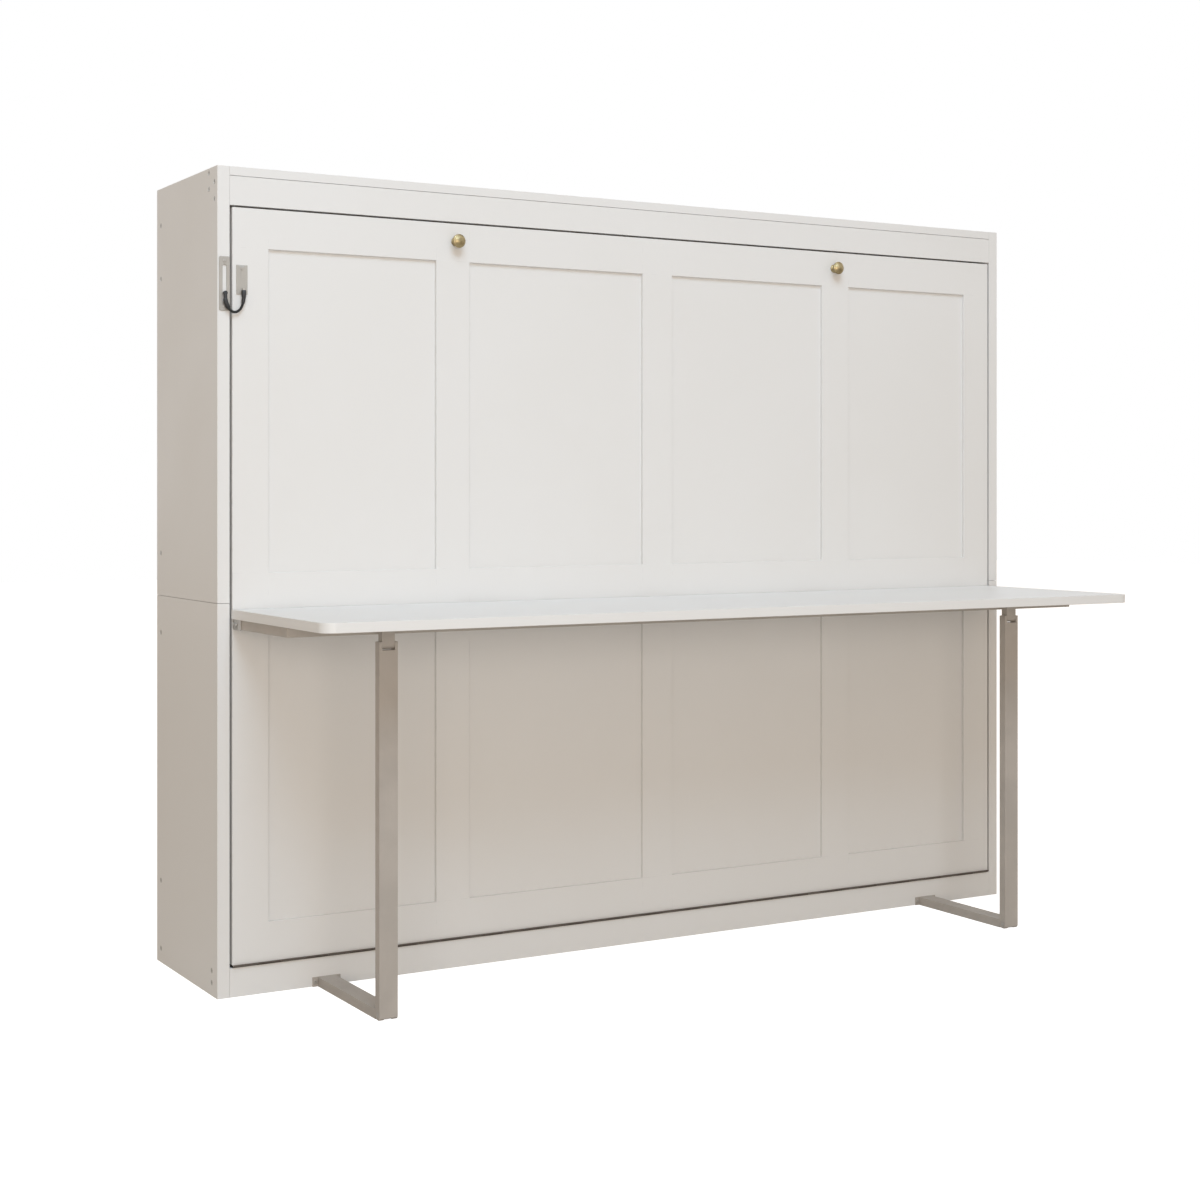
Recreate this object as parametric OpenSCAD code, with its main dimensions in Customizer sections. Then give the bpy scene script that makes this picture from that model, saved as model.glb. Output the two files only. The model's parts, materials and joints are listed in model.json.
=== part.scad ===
// Horizontal wall bed whose front carries a desk that stays level while the bed folds down.
// Millimetres. X runs along the bed, +Y points to the wall, +Z is up, and the floor is z = 0.

/* [Cabinet] */
// Width over both side panels
cabinet_w = 2010; // [1800:10:2300]
// Height from the floor to the top board
cabinet_h = 1640; // [1560:10:1800]
// Depth from the front edges to the wall
cabinet_d = 382; // [370:1:450]
// Thickness of the side panels
side_t = 25; // [22:1:32]
// Height of the seam between the lower and upper side panels above the desk top
seam_rise = 12; // [5:1:60]
// Thickness of the top board
top_t = 18; // [12:1:25]
// Height of the fascia above the bed front
fascia_h = 58; // [45:1:100]
// Height of the plinth below the bed front
plinth_h = 58; // [54:1:80]
// Thickness of the fascia and the plinth
front_t = 25; // [20:1:30]
// Thickness of the rails behind the fascia and the plinth
inner_rail_t = 18; // [15:1:25]
// Space between the fascia and the header rail behind it
header_gap = 16; // [5:1:30]
// Thickness of the three back rails
back_rail_t = 18; // [16:1:25]
// Distance from the wall to the rear faces of the back rails
back_rail_inset = 17; // [5:1:25]
// Height of the bottom back rail
bottom_rail_h = 204; // [120:1:240]
// Height of the middle back rail
middle_rail_h = 228; // [140:1:260]
// Height of the top back rail
top_rail_h = 203; // [120:1:240]

/* [Bed front] */
// Gap between the bed front and each side panel
side_gap = 4; // [2:0.5:8]
// Gap between the plinth and the bed front
bottom_gap = 5; // [5:0.5:8]
// Gap between the bed front and the fascia
top_gap = 4; // [3:0.5:10]
// Thickness of the board behind the panels
panel_t = 15; // [12:1:18]
// Thickness of the applied rails and stiles
trim_t = 6; // [3:0.5:9]
// Width of the stiles
stile_w = 77; // [50:1:100]
// Height of the top and bottom rails of the front
end_rail_h = 79; // [50:1:110]
// Height of the middle rail of the front
mid_rail_h = 106; // [60:1:140]
// Height of the middle rail's top edge above the desk top
mid_rail_rise = 71; // [40:1:110]
// Distance from the middle of the bed to the inner stiles, before their shift
inner_stile_x = 499; // [420:1:560]
// Shift of the inner stiles and the knobs to the right
stile_shift = 8; // [-30:1:30]
// Shift of the centre stile to the right
centre_shift = 14; // [-30:1:30]

/* [Bed frame] */
// Room for a lift strut between the bed frame and a side panel
strut_room = 20; // [20:1:30]
// Thickness of the steel end plates
end_plate_t = 4; // [3:1:6]
// Depth of the bed frame behind the front
frame_d = 120; // [100:5:150]
// Thickness of the long rails
long_rail_t = 22; // [18:1:30]
// Distance from the bottom of the bed front to the frame
frame_low_inset = 7; // [5:1:20]
// Distance from the top of the bed front to the frame
frame_high_inset = 60; // [40:1:90]
// Width of one slat
slat_w = 70; // [50:1:90]
// Thickness of a slat
slat_t = 18; // [12:1:22]
// Height of the bearers under the slats
bearer_d = 40; // [30:1:50]
// Number of slats
slat_count = 13; // [9:1:15]

/* [Mattress] */
// Thickness of the mattress at its edge tape
mattress_t = 194; // [150:1:200]
// Rise of the top panel above the edge tape
mattress_crown = 6; // [2:1:12]
// Radius of the mattress's corners
mattress_corner_r = 70; // [30:5:100]
// Room between each end of the mattress and the end plate
mattress_end_room = 3.5; // [2:0.5:10]
// Room above the mattress when the bed stands closed
mattress_top_room = 14; // [5:1:30]
// Width of a mattress strap
strap_w = 40; // [25:1:60]
// Thickness of a mattress strap
strap_t = 1.5; // [1.2:0.1:2.5]
// Distance from the middle of the bed to each strap
strap_x = 600; // [400:10:800]

/* [Desk] */
// Height of the desk top above the floor
desk_h = 766; // [720:1:800]
// Thickness of the desk top
desk_t = 19; // [16:1:19]
// Distance from the bed front to the desk's front edge
desk_reach = 477; // [400:1:520]
// Overhang of the desk top past each edge of the bed front
desk_over = 1; // [0:0.5:2]
// Radius of the desk's front corners
desk_corner_r = 28; // [10:1:60]
// Width of the frame and leg tubes
tube_w = 38; // [30:1:50]
// Thickness of the frame and leg tubes
tube_h = 19; // [18:1:20]
// Wall of the tubes
tube_wall = 2; // [1.5:0.5:3]
// Distance from the desk's ends to the underframe
underframe_inset = 4.5; // [4.5:0.5:30]
// Distance from the bed front to the legs' front faces
leg_reach = 307; // [250:1:330]
// Distance from each end of the underframe to the middle of the leg
leg_inset = 196.5; // [120:0.5:320]
// Width of the tongue between a leg's ears
tongue_w = 26; // [16:1:28]

/* [Hinges] */
// Distance from the bed front out to both hinge axes
axis_out = 4.5; // [4.5:0.1:6]
// Drop of the desk's hinge axis below the desk top
axis_drop = 3.5; // [3.5:0.1:4]
// Length of one desk hinge
hinge_l = 76; // [50:1:120]
// Number of hinges along the desk
hinge_count = 5; // [3:1:7]
// Radius of the knuckles of the long hinge under the bed front
bed_knuckle_r = 3.2; // [3:0.1:3.2]
// Radius of the desk hinges' knuckles
desk_knuckle_r = 3; // [2.5:0.1:3]
// Radius of the hinge pins
pin_r = 1.25; // [1:0.05:1.5]
// Radius of the pins at both ends of the legs
leg_pin_r = 4; // [3:0.5:5]

/* [Struts] */
// Distance from a lift strut's low end to the bottom back rail
strut_rail_gap = 22.8; // [16:0.1:50]
// Radius of the strut cylinder
strut_r = 8; // [7:0.5:8]
// Radius of the strut rod
rod_r = 4; // [3:0.5:4.5]

/* [Knobs and latch] */
// Distance from the middle of the bed to each knob
knob_x = 494; // [300:1:700]
// Distance from the top of the bed front to the knobs
knob_drop = 38; // [25:1:60]
// Radius of a knob's head
knob_r = 14.5; // [10:0.5:18]
// Length of a knob
knob_l = 26; // [20:1:35]
// Distance from the cabinet's top to the middle of the latch
latch_drop = 232; // [150:1:300]
// Height of the slotted latch plate
track_h = 107; // [95:1:125]
// Width of the slotted latch plate
track_w = 22; // [18:1:22]
// Thickness of the latch plates
latch_t = 2; // [1.5:0.5:3]

/* [Hidden] */
$fn = 32;

// Clearances: a pin in its bore, a loose pivot, moving faces, and soft on hard
pin_fit = 0.05;
loose_fit = 0.3;
move_gap = 0.4;
soft_gap = 0.3;
// Overshoot of a cutter past the face that it leaves by
cut = 1;

// The part is centred on X and Y, so the cabinet's front plane lies off the middle
front_y = (desk_reach - cabinet_d) / 2;
half_w = cabinet_w / 2;
inner_x = half_w - side_t;
white = "WhiteSmoke";
steel = "DarkGray";
frame_grey = "Silver";

// Levels of the cabinet's front boards and of the bed front
fascia_z1 = cabinet_h - top_t;
fascia_z0 = fascia_z1 - fascia_h;
face_z0 = plinth_h + bottom_gap;
face_z1 = fascia_z0 - top_gap;
face_x = inner_x - side_gap;
face_back = trim_t + panel_t;
latch_z = cabinet_h - latch_drop;
seam_z = desk_h + seam_rise;

// Hinge axes, as [y, z] in front-plane coordinates, and the link between them
bed_axis = [-axis_out, plinth_h + 4.5];
desk_axis = [-axis_out, desk_h - axis_drop];
link = desk_axis[1] - bed_axis[1];
leg_y = tube_h / 2 - leg_reach;
foot_axis = [leg_y, tube_h / 2];
head_axis = [leg_y, foot_axis[1] + link];

// Levels of the desk and its underframe
board_z0 = desk_h - desk_t;
frame_z0 = board_z0 - tube_h;
desk_x = face_x + desk_over;
frame_x = desk_x - underframe_inset;
leg_x = frame_x - leg_inset;
rear_clear = 1.6;
rear_rail_y = -50;
front_rail_y = tube_h - leg_reach;

// Bed frame
plate_x = inner_x - strut_room;
bed_frame_z0 = face_z0 + frame_low_inset;
bed_frame_z1 = face_z1 - frame_high_inset;
mattress_z0 = bed_frame_z0 + long_rail_t + soft_gap;
mattress_z1 = bed_frame_z1 - long_rail_t - mattress_top_room;
mattress_x = plate_x - end_plate_t - mattress_end_room;
mattress_y0 = face_back + bearer_d + slat_t + soft_gap;
mattress_y1 = mattress_y0 + mattress_t + mattress_crown;

// Screws through the side panels: [y, z] of each, taken from the boards that they hold
side_head_r = 5.6;
foot_head_r = 4.2;
screw_head_t = 2;
screw_r = 2.4;
screw_l = 60;
screw_inset = 30;
back_rail_y = cabinet_d - back_rail_inset - back_rail_t;
back_screw_y = back_rail_y + back_rail_t / 2;
middle_rail_z0 = seam_z + 6 - middle_rail_h / 2;
top_rail_z0 = fascia_z1 - top_rail_h;
base_rail_y = front_t;
header_y = front_t + header_gap;
side_screw_places = [
    [back_screw_y, screw_inset],
    [back_screw_y, bottom_rail_h - screw_inset],
    [back_screw_y, middle_rail_z0 + screw_inset],
    [back_screw_y, middle_rail_z0 + middle_rail_h - screw_inset],
    [back_screw_y, top_rail_z0 + screw_inset],
    [back_screw_y, top_rail_z0 + top_rail_h - 2 * screw_inset],
    [front_t * 0.68, fascia_z0 + 12],
    [front_t * 0.68, fascia_z1 - 12],
    [header_y + inner_rail_t / 2, fascia_z0 + 35],
    [header_y + inner_rail_t / 2, cabinet_h - top_t / 2],
    [base_rail_y + inner_rail_t / 2, 26],
    [base_rail_y + inner_rail_t / 2, plinth_h - 8]
];

// Wall bolts pass through the top and middle back rails
wall_bolt_x = 600;
wall_bolt_r = 5;
wall_bolt_z = [middle_rail_z0 + middle_rail_h / 2, top_rail_z0 + top_rail_h / 2];

// Lift struts: both ends ride on one circle about the bed's axis, so the rod stays in line
low_angle = 5;
high_angle = 75;
strut_x = inner_x - strut_room / 2;
strut_orbit = (back_rail_y - strut_rail_gap - bed_axis[0]) / cos(low_angle);
strut_low = bed_axis + strut_orbit * [cos(low_angle), sin(low_angle)];
strut_high = bed_axis + strut_orbit * [cos(high_angle), sin(high_angle)];
strut_angle = atan2(strut_high[1] - strut_low[1], strut_high[0] - strut_low[0]);
strut_rest_l = norm(strut_high - strut_low);
strut_open_l = 2 * strut_orbit * sin((90 + high_angle - low_angle) / 2);
eye_r = 8;
eye_w = 10;
stud_r = 4;
flange_r = 13;
flange_t = 3;
cylinder_start = 15;
cylinder_l = strut_rest_l - cylinder_start - 34;
rod_l = strut_open_l - cylinder_start - cylinder_l + 30;

// Hinges
hinge_parts = 5;
bed_hinge_parts = 39;
bed_hinge_inset = 2;
bed_hinge_l = 2 * (face_x - bed_hinge_inset);
leaf_t = 1.2;
knuckle_gap = 0.4;
hinge_inset = 110;
hinge_span = 2 * (face_x - hinge_inset);
bed_leaf_d = 18;
desk_leaf_h = 22;
notch_room = 1;
desk_leaf_y = desk_axis[0] - desk_knuckle_r - move_gap;

// Latch: positions from the cabinet's left face and from the middle of the slotted plate
track_x = -half_w + side_t / 2 + 1.5;
slot_w = 8;
slot_h = 66;
latch_plate_w = 23;
latch_plate_h = 58;
latch_plate_x = -face_x + 21;
latch_plate_dz = 9;
toggle_dz = -19;
toggle_r = 4;
toggle_y = -7;
sleeve_r = 3.6;
sleeve_l = 13;
cord_r = 2.6;
cord_sides = 8;
// The cord's middle line: x from the cabinet's left face, y from its front, z from latch_z
CORD_POINTS = [
    [14, toggle_y, -30], [14, toggle_y, -33], [15.2, toggle_y, -37.5], [17, toggle_y, -42],
    [19.2, toggle_y, -46.5], [22.5, toggle_y, -51], [26.5, toggle_y, -54.5], [31, toggle_y, -56],
    [36, toggle_y, -55.7], [41, toggle_y, -53.2], [45, toggle_y, -49.2], [48, toggle_y, -44],
    [50, toggle_y, -38], [51.3, toggle_y, -31.5], [52, toggle_y, -26], [52, toggle_y, -21]
];

// ---------------------------------------------------------------- shared shapes

// Moves front-plane coordinates to the part's frame
module placed() {
    translate([0, front_y, 0]) children();
}

module box(x, y, z) {
    translate([x[0], y[0], z[0]]) cube([x[1] - x[0], y[1] - y[0], z[1] - z[0]]);
}

// Cylinder along X between x[0] and x[1]
module rod_x(r, x, y, z) {
    translate([x[0], y, z]) rotate([0, 90, 0]) cylinder(r = r, h = x[1] - x[0]);
}

// Cylinder along Y between y[0] and y[1]
module rod_y(r, x, y, z) {
    translate([x, y[0], z]) rotate([-90, 0, 0]) cylinder(r = r, h = y[1] - y[0]);
}

// Copies the children on the right and mirrors them to the left
module both_sides() {
    for (side = [0, 1])
        mirror([side, 0, 0]) children();
}

// Rectangular tube with closed ends
module tube(x, y, z) {
    w = tube_wall;
    difference() {
        box(x, y, z);
        box([x[0] + w, x[1] - w], [y[0] + w, y[1] - w], [z[0] + w, z[1] - w]);
    }
}

// Holes for the side screws, on the right
module side_screw_bores() {
    for (place = side_screw_places) {
        rod_x(screw_r + pin_fit, [half_w - screw_l - cut, half_w], place[0], place[1]);
        rod_x(side_head_r + pin_fit, [half_w - screw_head_t, half_w + cut], place[0], place[1]);
    }
}

// A board between the side panels, drilled for their screws
module cross_board(y, z) {
    color(white) placed()
        difference() {
            box([-inner_x, inner_x], y, z);
            both_sides() side_screw_bores();
        }
}

// ---------------------------------------------------------------- cabinet

module side_panel(z) {
    difference() {
        box([inner_x, half_w], [0, cabinet_d], z);
        side_screw_bores();
    }
}

module side_lower_right() {
    color(white) placed() side_panel([0, seam_z]);
}

module side_lower_left() {
    mirror([1, 0, 0]) side_lower_right();
}

module side_upper_right() {
    color(white) placed() side_panel([seam_z, cabinet_h]);
}

module side_upper_left() {
    color(white) placed()
        difference() {
            mirror([1, 0, 0]) side_panel([seam_z, cabinet_h]);
            latch_screw_shapes(pin_fit);
        }
}

module top_board() {
    cross_board([0, cabinet_d], [fascia_z1, cabinet_h]);
}

module fascia() {
    cross_board([0, front_t], [fascia_z0, fascia_z1]);
}

module header_rail() {
    cross_board([header_y, header_y + inner_rail_t], [fascia_z0, fascia_z1]);
}

module plinth() {
    color(white) placed()
        difference() {
            box([-inner_x, inner_x], [0, front_t], [0, plinth_h]);
            foot_screw_shapes(pin_fit);
        }
}

module base_rail() {
    cross_board([base_rail_y, base_rail_y + inner_rail_t], [0, plinth_h]);
}

// A back rail with its wall bolt holes, where it has any
module back_rail(z) {
    difference() {
        cross_board([back_rail_y, back_rail_y + back_rail_t], z);
        placed()
            both_sides()
                for (bolt_z = wall_bolt_z)
                    rod_y(wall_bolt_r, wall_bolt_x, [back_rail_y - cut, cabinet_d], bolt_z);
    }
}

module back_rail_top() {
    color(white) back_rail([top_rail_z0, fascia_z1]);
}

module back_rail_middle() {
    color(white) back_rail([middle_rail_z0, middle_rail_z0 + middle_rail_h]);
}

module back_rail_bottom() {
    cross_board([back_rail_y, back_rail_y + back_rail_t], [0, bottom_rail_h]);
}

module side_screws() {
    color(steel) placed()
        both_sides()
            for (place = side_screw_places) {
                rod_x(screw_r, [half_w - screw_l, half_w - screw_head_t / 2], place[0], place[1]);
                rod_x(side_head_r, [half_w - screw_head_t, half_w], place[0], place[1]);
            }
}

closing_stop_h = 60;
closing_stop_drop = 110;
closing_stop_d = 25;
closing_stop_lap = 14;

// Blocks on the side panels that stop the bed front as it closes
module closing_stops() {
    top = fascia_z0 - closing_stop_drop;
    front = face_back + move_gap;
    color("DimGray") placed()
        both_sides()
            box([inner_x - side_gap - closing_stop_lap, inner_x],
                [front, front + closing_stop_d],
                [top - closing_stop_h, top]);
}

// ---------------------------------------------------------------- feet under the desk legs

lug_r = 7.5;
lug_w = 16;
foot_flange_x = 30;
foot_flange_t = 3;
foot_screw_x = 25;

// The floor bar of the right leg: flange on the plinth, tube, and the lug that takes the pin
module foot_bar() {
    front = leg_y + tube_h / 2 + move_gap;
    left = leg_x - tube_w / 2;
    right = leg_x + tube_w / 2;
    difference() {
        union() {
            tube([left, right], [front, -foot_flange_t + tube_wall / 2], [0, tube_h]);
            box([leg_x - foot_flange_x, leg_x + foot_flange_x], [-foot_flange_t, 0], [0, tube_h]);
            box([leg_x - lug_w / 2, leg_x + lug_w / 2],
                [leg_y, front + tube_wall / 2],
                [foot_axis[1] - lug_r, foot_axis[1] + lug_r]);
            rod_x(lug_r, [leg_x - lug_w / 2, leg_x + lug_w / 2], leg_y, foot_axis[1]);
        }
        rod_x(leg_pin_r + pin_fit, [left, right], leg_y, foot_axis[1]);
        translate([leg_x, 0, 0])
            for (side = [-1, 1])
                rod_y(screw_r + pin_fit, side * foot_screw_x, [-foot_flange_t - cut, cut], tube_h / 2);
    }
}

module foot_bar_right() {
    color(frame_grey) placed() foot_bar();
}

module foot_bar_left() {
    mirror([1, 0, 0]) foot_bar_right();
}

module foot_pins() {
    color(steel) placed()
        both_sides()
            rod_x(leg_pin_r, [leg_x - tube_w / 2, leg_x + tube_w / 2], leg_y, foot_axis[1]);
}

// Flange screws, grown by the given clearance where they cut their holes
module foot_screw_shapes(grow) {
    both_sides()
        for (side = [-1, 1])
            rod_y(screw_r + grow, leg_x + side * foot_screw_x,
                [-foot_flange_t - 1, front_t - 6], tube_h / 2);
}

module foot_screws() {
    color(steel) placed() {
        foot_screw_shapes(0);
        both_sides()
            for (side = [-1, 1])
                rod_y(foot_head_r, leg_x + side * foot_screw_x,
                    [-foot_flange_t - 2, -foot_flange_t], tube_h / 2);
    }
}

// ---------------------------------------------------------------- hinges

// Middle of each hinge along X
hinge_places = [for (i = [0 : hinge_count - 1]) -hinge_span / 2 + i * hinge_span / (hinge_count - 1)];

// Knuckles of one hinge with the given parity, each with the bore for the pin
module knuckles(length, parts, r, axis, parity) {
    pitch = length / parts;
    difference() {
        union() {
            for (i = [0 : parts - 1])
                if (i % 2 == parity) {
                    start = -length / 2 + i * pitch + knuckle_gap / 2;
                    rod_x(r, [start, start + pitch - knuckle_gap], axis[0], axis[1]);
                    translate([start, 0, 0]) children();
                }
        }
        rod_x(pin_r + pin_fit, [-length / 2 - cut, length / 2 + cut], axis[0], axis[1]);
    }
}

// The bed's long hinge: its fixed leaf, flat on the plinth, with every other knuckle
module bed_hinge_plinth_leaves() {
    top = plinth_h + leaf_t;
    back = bed_axis[0] + bed_knuckle_r;
    color("DimGray") placed() {
        box([-bed_hinge_l / 2, bed_hinge_l / 2], [back + move_gap, bed_leaf_d], [plinth_h, top]);
        knuckles(bed_hinge_l, bed_hinge_parts, bed_knuckle_r, bed_axis, 0)
            box([0, bed_hinge_l / bed_hinge_parts - knuckle_gap],
                [bed_axis[0], back + 2 * move_gap],
                [plinth_h, top + 0.6]);
    }
}

// Its moving leaf, under the bottom edge of the bed front
module bed_hinge_face_leaves() {
    back = bed_axis[0] + bed_knuckle_r;
    color("DimGray") placed() {
        box([-bed_hinge_l / 2, bed_hinge_l / 2], [back + move_gap, bed_leaf_d], [face_z0 - leaf_t, face_z0]);
        knuckles(bed_hinge_l, bed_hinge_parts, bed_knuckle_r, bed_axis, 1)
            box([0, bed_hinge_l / bed_hinge_parts - knuckle_gap],
                [bed_axis[0], back + 2 * move_gap],
                [face_z0 - leaf_t, face_z0]);
    }
}

module bed_hinge_pins() {
    color(steel) placed()
        rod_x(pin_r, [-bed_hinge_l / 2, bed_hinge_l / 2], bed_axis[0], bed_axis[1]);
}

module desk_hinge_pins() {
    color(steel) placed()
        for (x = hinge_places)
            rod_x(pin_r, [x - hinge_l / 2, x + hinge_l / 2], desk_axis[0], desk_axis[1]);
}

// Leaves on the bed front that hang below the desk hinges' knuckles
module desk_hinge_face_leaves() {
    top = desk_axis[1] + 1;
    color(white) placed()
        for (x = hinge_places)
            translate([x, 0, 0]) {
                box([-hinge_l / 2, hinge_l / 2], [-leaf_t, 0], [top - desk_leaf_h - 6, top]);
                knuckles(hinge_l, hinge_parts, desk_knuckle_r, desk_axis, 0)
                    box([0, hinge_l / hinge_parts - knuckle_gap], [desk_axis[0], 0], [desk_axis[1] - 1.2, top]);
            }
}

// Leaves in notches of the desk's rear edge
module desk_hinge_desk_leaves() {
    color(white) placed()
        for (x = hinge_places)
            translate([x, 0, 0]) {
                box([-hinge_l / 2, hinge_l / 2], [desk_leaf_y - leaf_t, desk_leaf_y],
                    [board_z0, desk_axis[1] + 1]);
                knuckles(hinge_l, hinge_parts, desk_knuckle_r, desk_axis, 1)
                    box([0, hinge_l / hinge_parts - knuckle_gap], [desk_leaf_y - leaf_t, desk_axis[0]],
                        [desk_axis[1] - 1.2, desk_axis[1] + 1]);
            }
}

// ---------------------------------------------------------------- latch

// Screws of the slotted plate, grown by the given clearance where they cut their holes
module latch_screw_shapes(grow) {
    for (side = [-1, 1])
        rod_y(1.6 + grow, track_x, [-latch_t - 0.5, 14], latch_z + side * (track_h / 2 - 8));
}

// Slotted plate on the front edge of the left side panel
module latch_track() {
    color(steel) placed()
        difference() {
            union() {
                box([track_x - track_w / 2, track_x + track_w / 2], [-latch_t, 0],
                    [latch_z - (track_h - track_w) / 2, latch_z + (track_h - track_w) / 2]);
                for (side = [-1, 1])
                    rod_y(track_w / 2, track_x, [-latch_t, 0], latch_z + side * (track_h - track_w) / 2);
            }
            latch_screw_shapes(pin_fit);
            box([track_x - slot_w / 2, track_x + slot_w / 2], [-latch_t - cut, cut],
                [latch_z - slot_h / 2, latch_z + slot_h / 2]);
            for (side = [-1, 1])
                rod_y(slot_w / 2, track_x, [-latch_t - cut, cut], latch_z + side * slot_h / 2);
        }
}

module latch_track_screws() {
    color(steel) placed() {
        latch_screw_shapes(0);
        for (side = [-1, 1])
            rod_y(3, track_x, [-latch_t - 1.2, -latch_t], latch_z + side * (track_h / 2 - 8));
    }
}

// Plate on the bed front with the eye that holds the cord's sleeve
module latch_plate() {
    z = latch_z + latch_plate_dz;
    half_w = latch_plate_w / 2;
    half_h = latch_plate_h / 2;
    eye = CORD_POINTS[len(CORD_POINTS) - 1];
    color(steel) placed() {
        box([latch_plate_x - half_w, latch_plate_x + half_w], [-latch_t, 0], [z - half_h, z + half_h]);
        for (side = [-1, 1])
            rod_y(3, latch_plate_x, [-latch_t - 1.2, -latch_t / 2], z + side * (half_h - 7));
        translate([eye[0] - cabinet_w / 2, eye[1], latch_z + eye[2]]) {
            cylinder(r = sleeve_r, h = sleeve_l);
            translate([-1.5, 0, sleeve_l - 4]) cube([3, -eye[1] - latch_t / 2, 3]);
        }
    }
}

// Toggle whose neck sits in the slot, with the sleeve that grips the cord
module latch_toggle() {
    z = latch_z + toggle_dz;
    top = CORD_POINTS[0];
    color("DimGray") placed() {
        rod_y(toggle_r, track_x, [toggle_y - 2.5, -latch_t - move_gap], z);
        rod_y(slot_w / 2 - 1.5, track_x, [toggle_y, -move_gap], z);
        translate([top[0] - half_w, top[1], latch_z + top[2]])
            cylinder(r = sleeve_r, h = toggle_dz - top[2]);
    }
}

// Unit vector along the cord at point i
function cord_direction(i) =
    let (before = CORD_POINTS[max(i - 1, 0)], after = CORD_POINTS[min(i + 1, len(CORD_POINTS) - 1)])
    (after - before) / norm(after - before);

// Ring of points round the cord at point i: the cord lies in one plane, so Y is always across it
function cord_ring(i) =
    let (along = cord_direction(i), across = cross(along, [0, 1, 0]))
    [for (k = [0 : cord_sides - 1])
        let (a = 360 * k / cord_sides)
        CORD_POINTS[i] + cord_r * (cos(a) * across + sin(a) * [0, 1, 0])];

// Side faces between rings of n points, as triangles
function ring_faces(count, n) = [
    for (i = [0 : count - 2], k = [0 : n - 1], half = [0, 1])
        let (a = i * n + k, b = i * n + (k + 1) % n)
        half == 0 ? [a, b, b + n] : [a, b + n, a + n]
];

module latch_cord() {
    count = len(CORD_POINTS);
    n = cord_sides;
    points = concat(
        [for (i = [0 : count - 1]) each cord_ring(i)],
        [CORD_POINTS[0], CORD_POINTS[count - 1]]
    );
    first = count * n;
    faces = concat(
        ring_faces(count, n),
        [for (k = [0 : n - 1]) [first, (k + 1) % n, k]],
        [for (k = [0 : n - 1]) [first + 1, first - n + k, first - n + (k + 1) % n]]
    );
    color("Black") placed()
        translate([-half_w, 0, latch_z]) polyhedron(points = points, faces = faces);
}

// ---------------------------------------------------------------- bed front

module face_panel() {
    color(white) placed() box([-face_x, face_x], [trim_t, face_back], [face_z0, face_z1]);
}

mid_rail_z0 = desk_h + mid_rail_rise - mid_rail_h;

module face_rail_top() {
    color(white) placed() box([-face_x, face_x], [0, trim_t], [face_z1 - end_rail_h, face_z1]);
}

module face_rail_bottom() {
    color(white) placed() box([-face_x, face_x], [0, trim_t], [face_z0, face_z0 + end_rail_h]);
}

// Left edges of the five stiles
stile_starts = [
    -face_x,
    -inner_stile_x + stile_shift - stile_w / 2,
    centre_shift - stile_w / 2,
    inner_stile_x + stile_shift - stile_w / 2,
    face_x - stile_w
];

// Middle rails between neighbouring stiles
module face_rail_middle() {
    color(white) placed()
        for (i = [0 : len(stile_starts) - 2])
            box([stile_starts[i] + stile_w, stile_starts[i + 1]],
                [0, trim_t],
                [mid_rail_z0, mid_rail_z0 + mid_rail_h]);
}

module face_stiles() {
    color(white) placed()
        for (x = stile_starts)
            box([x, x + stile_w], [0, trim_t], [face_z0 + end_rail_h, face_z1 - end_rail_h]);
}

// Brass knobs, turned about the Y axis
module knobs() {
    neck_r = knob_r * 0.42;
    base_r = knob_r * 0.6;
    profile = [
        [0, 0], [base_r, 0], [base_r, 2], [neck_r, 5], [neck_r, knob_l * 0.42],
        [knob_r * 0.78, knob_l * 0.52], [knob_r * 0.97, knob_l * 0.62], [knob_r, knob_l * 0.72],
        [knob_r * 0.94, knob_l * 0.85], [knob_r * 0.7, knob_l * 0.95], [knob_r * 0.3, knob_l], [0, knob_l]
    ];
    color("DarkKhaki") placed()
        for (side = [-1, 1])
            translate([side * knob_x + stile_shift, 0, face_z1 - knob_drop])
                rotate([90, 0, 0]) rotate_extrude() polygon(profile);
}

// ---------------------------------------------------------------- bed frame and mattress

module end_plate() {
    box([plate_x - end_plate_t, plate_x], [face_back, face_back + frame_d], [bed_frame_z0, bed_frame_z1]);
}

module end_plate_right() {
    color(steel) placed() end_plate();
}

module end_plate_left() {
    mirror([1, 0, 0]) end_plate_right();
}

module long_rail(z) {
    half_l = plate_x - end_plate_t;
    color("BurlyWood") placed() box([-half_l, half_l], [face_back, face_back + frame_d], z);
}

module long_rail_bottom() {
    long_rail([bed_frame_z0, bed_frame_z0 + long_rail_t]);
}

module long_rail_top() {
    long_rail([bed_frame_z1 - long_rail_t, bed_frame_z1]);
}

// Three bearers that carry the slats off the back of the bed front
module slat_bearers() {
    half_l = plate_x - end_plate_t;
    low = bed_frame_z0 + long_rail_t;
    high = bed_frame_z1 - long_rail_t;
    bearer_t = 20;
    color("BurlyWood") placed()
        for (z = [low, (low + high - bearer_t) / 2, high - bearer_t])
            box([-half_l, half_l], [face_back, face_back + bearer_d], [z, z + bearer_t]);
}

module slats() {
    step = (2 * (plate_x - end_plate_t) - 60 - slat_w) / (slat_count - 1);
    start = -(slat_count - 1) * step / 2 - slat_w / 2;
    color("Wheat") placed()
        for (i = [0 : slat_count - 1])
            box([start + i * step, start + i * step + slat_w],
                [face_back + bearer_d, face_back + bearer_d + slat_t],
                [bed_frame_z0 + long_rail_t, bed_frame_z1 - long_rail_t]);
}

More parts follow.
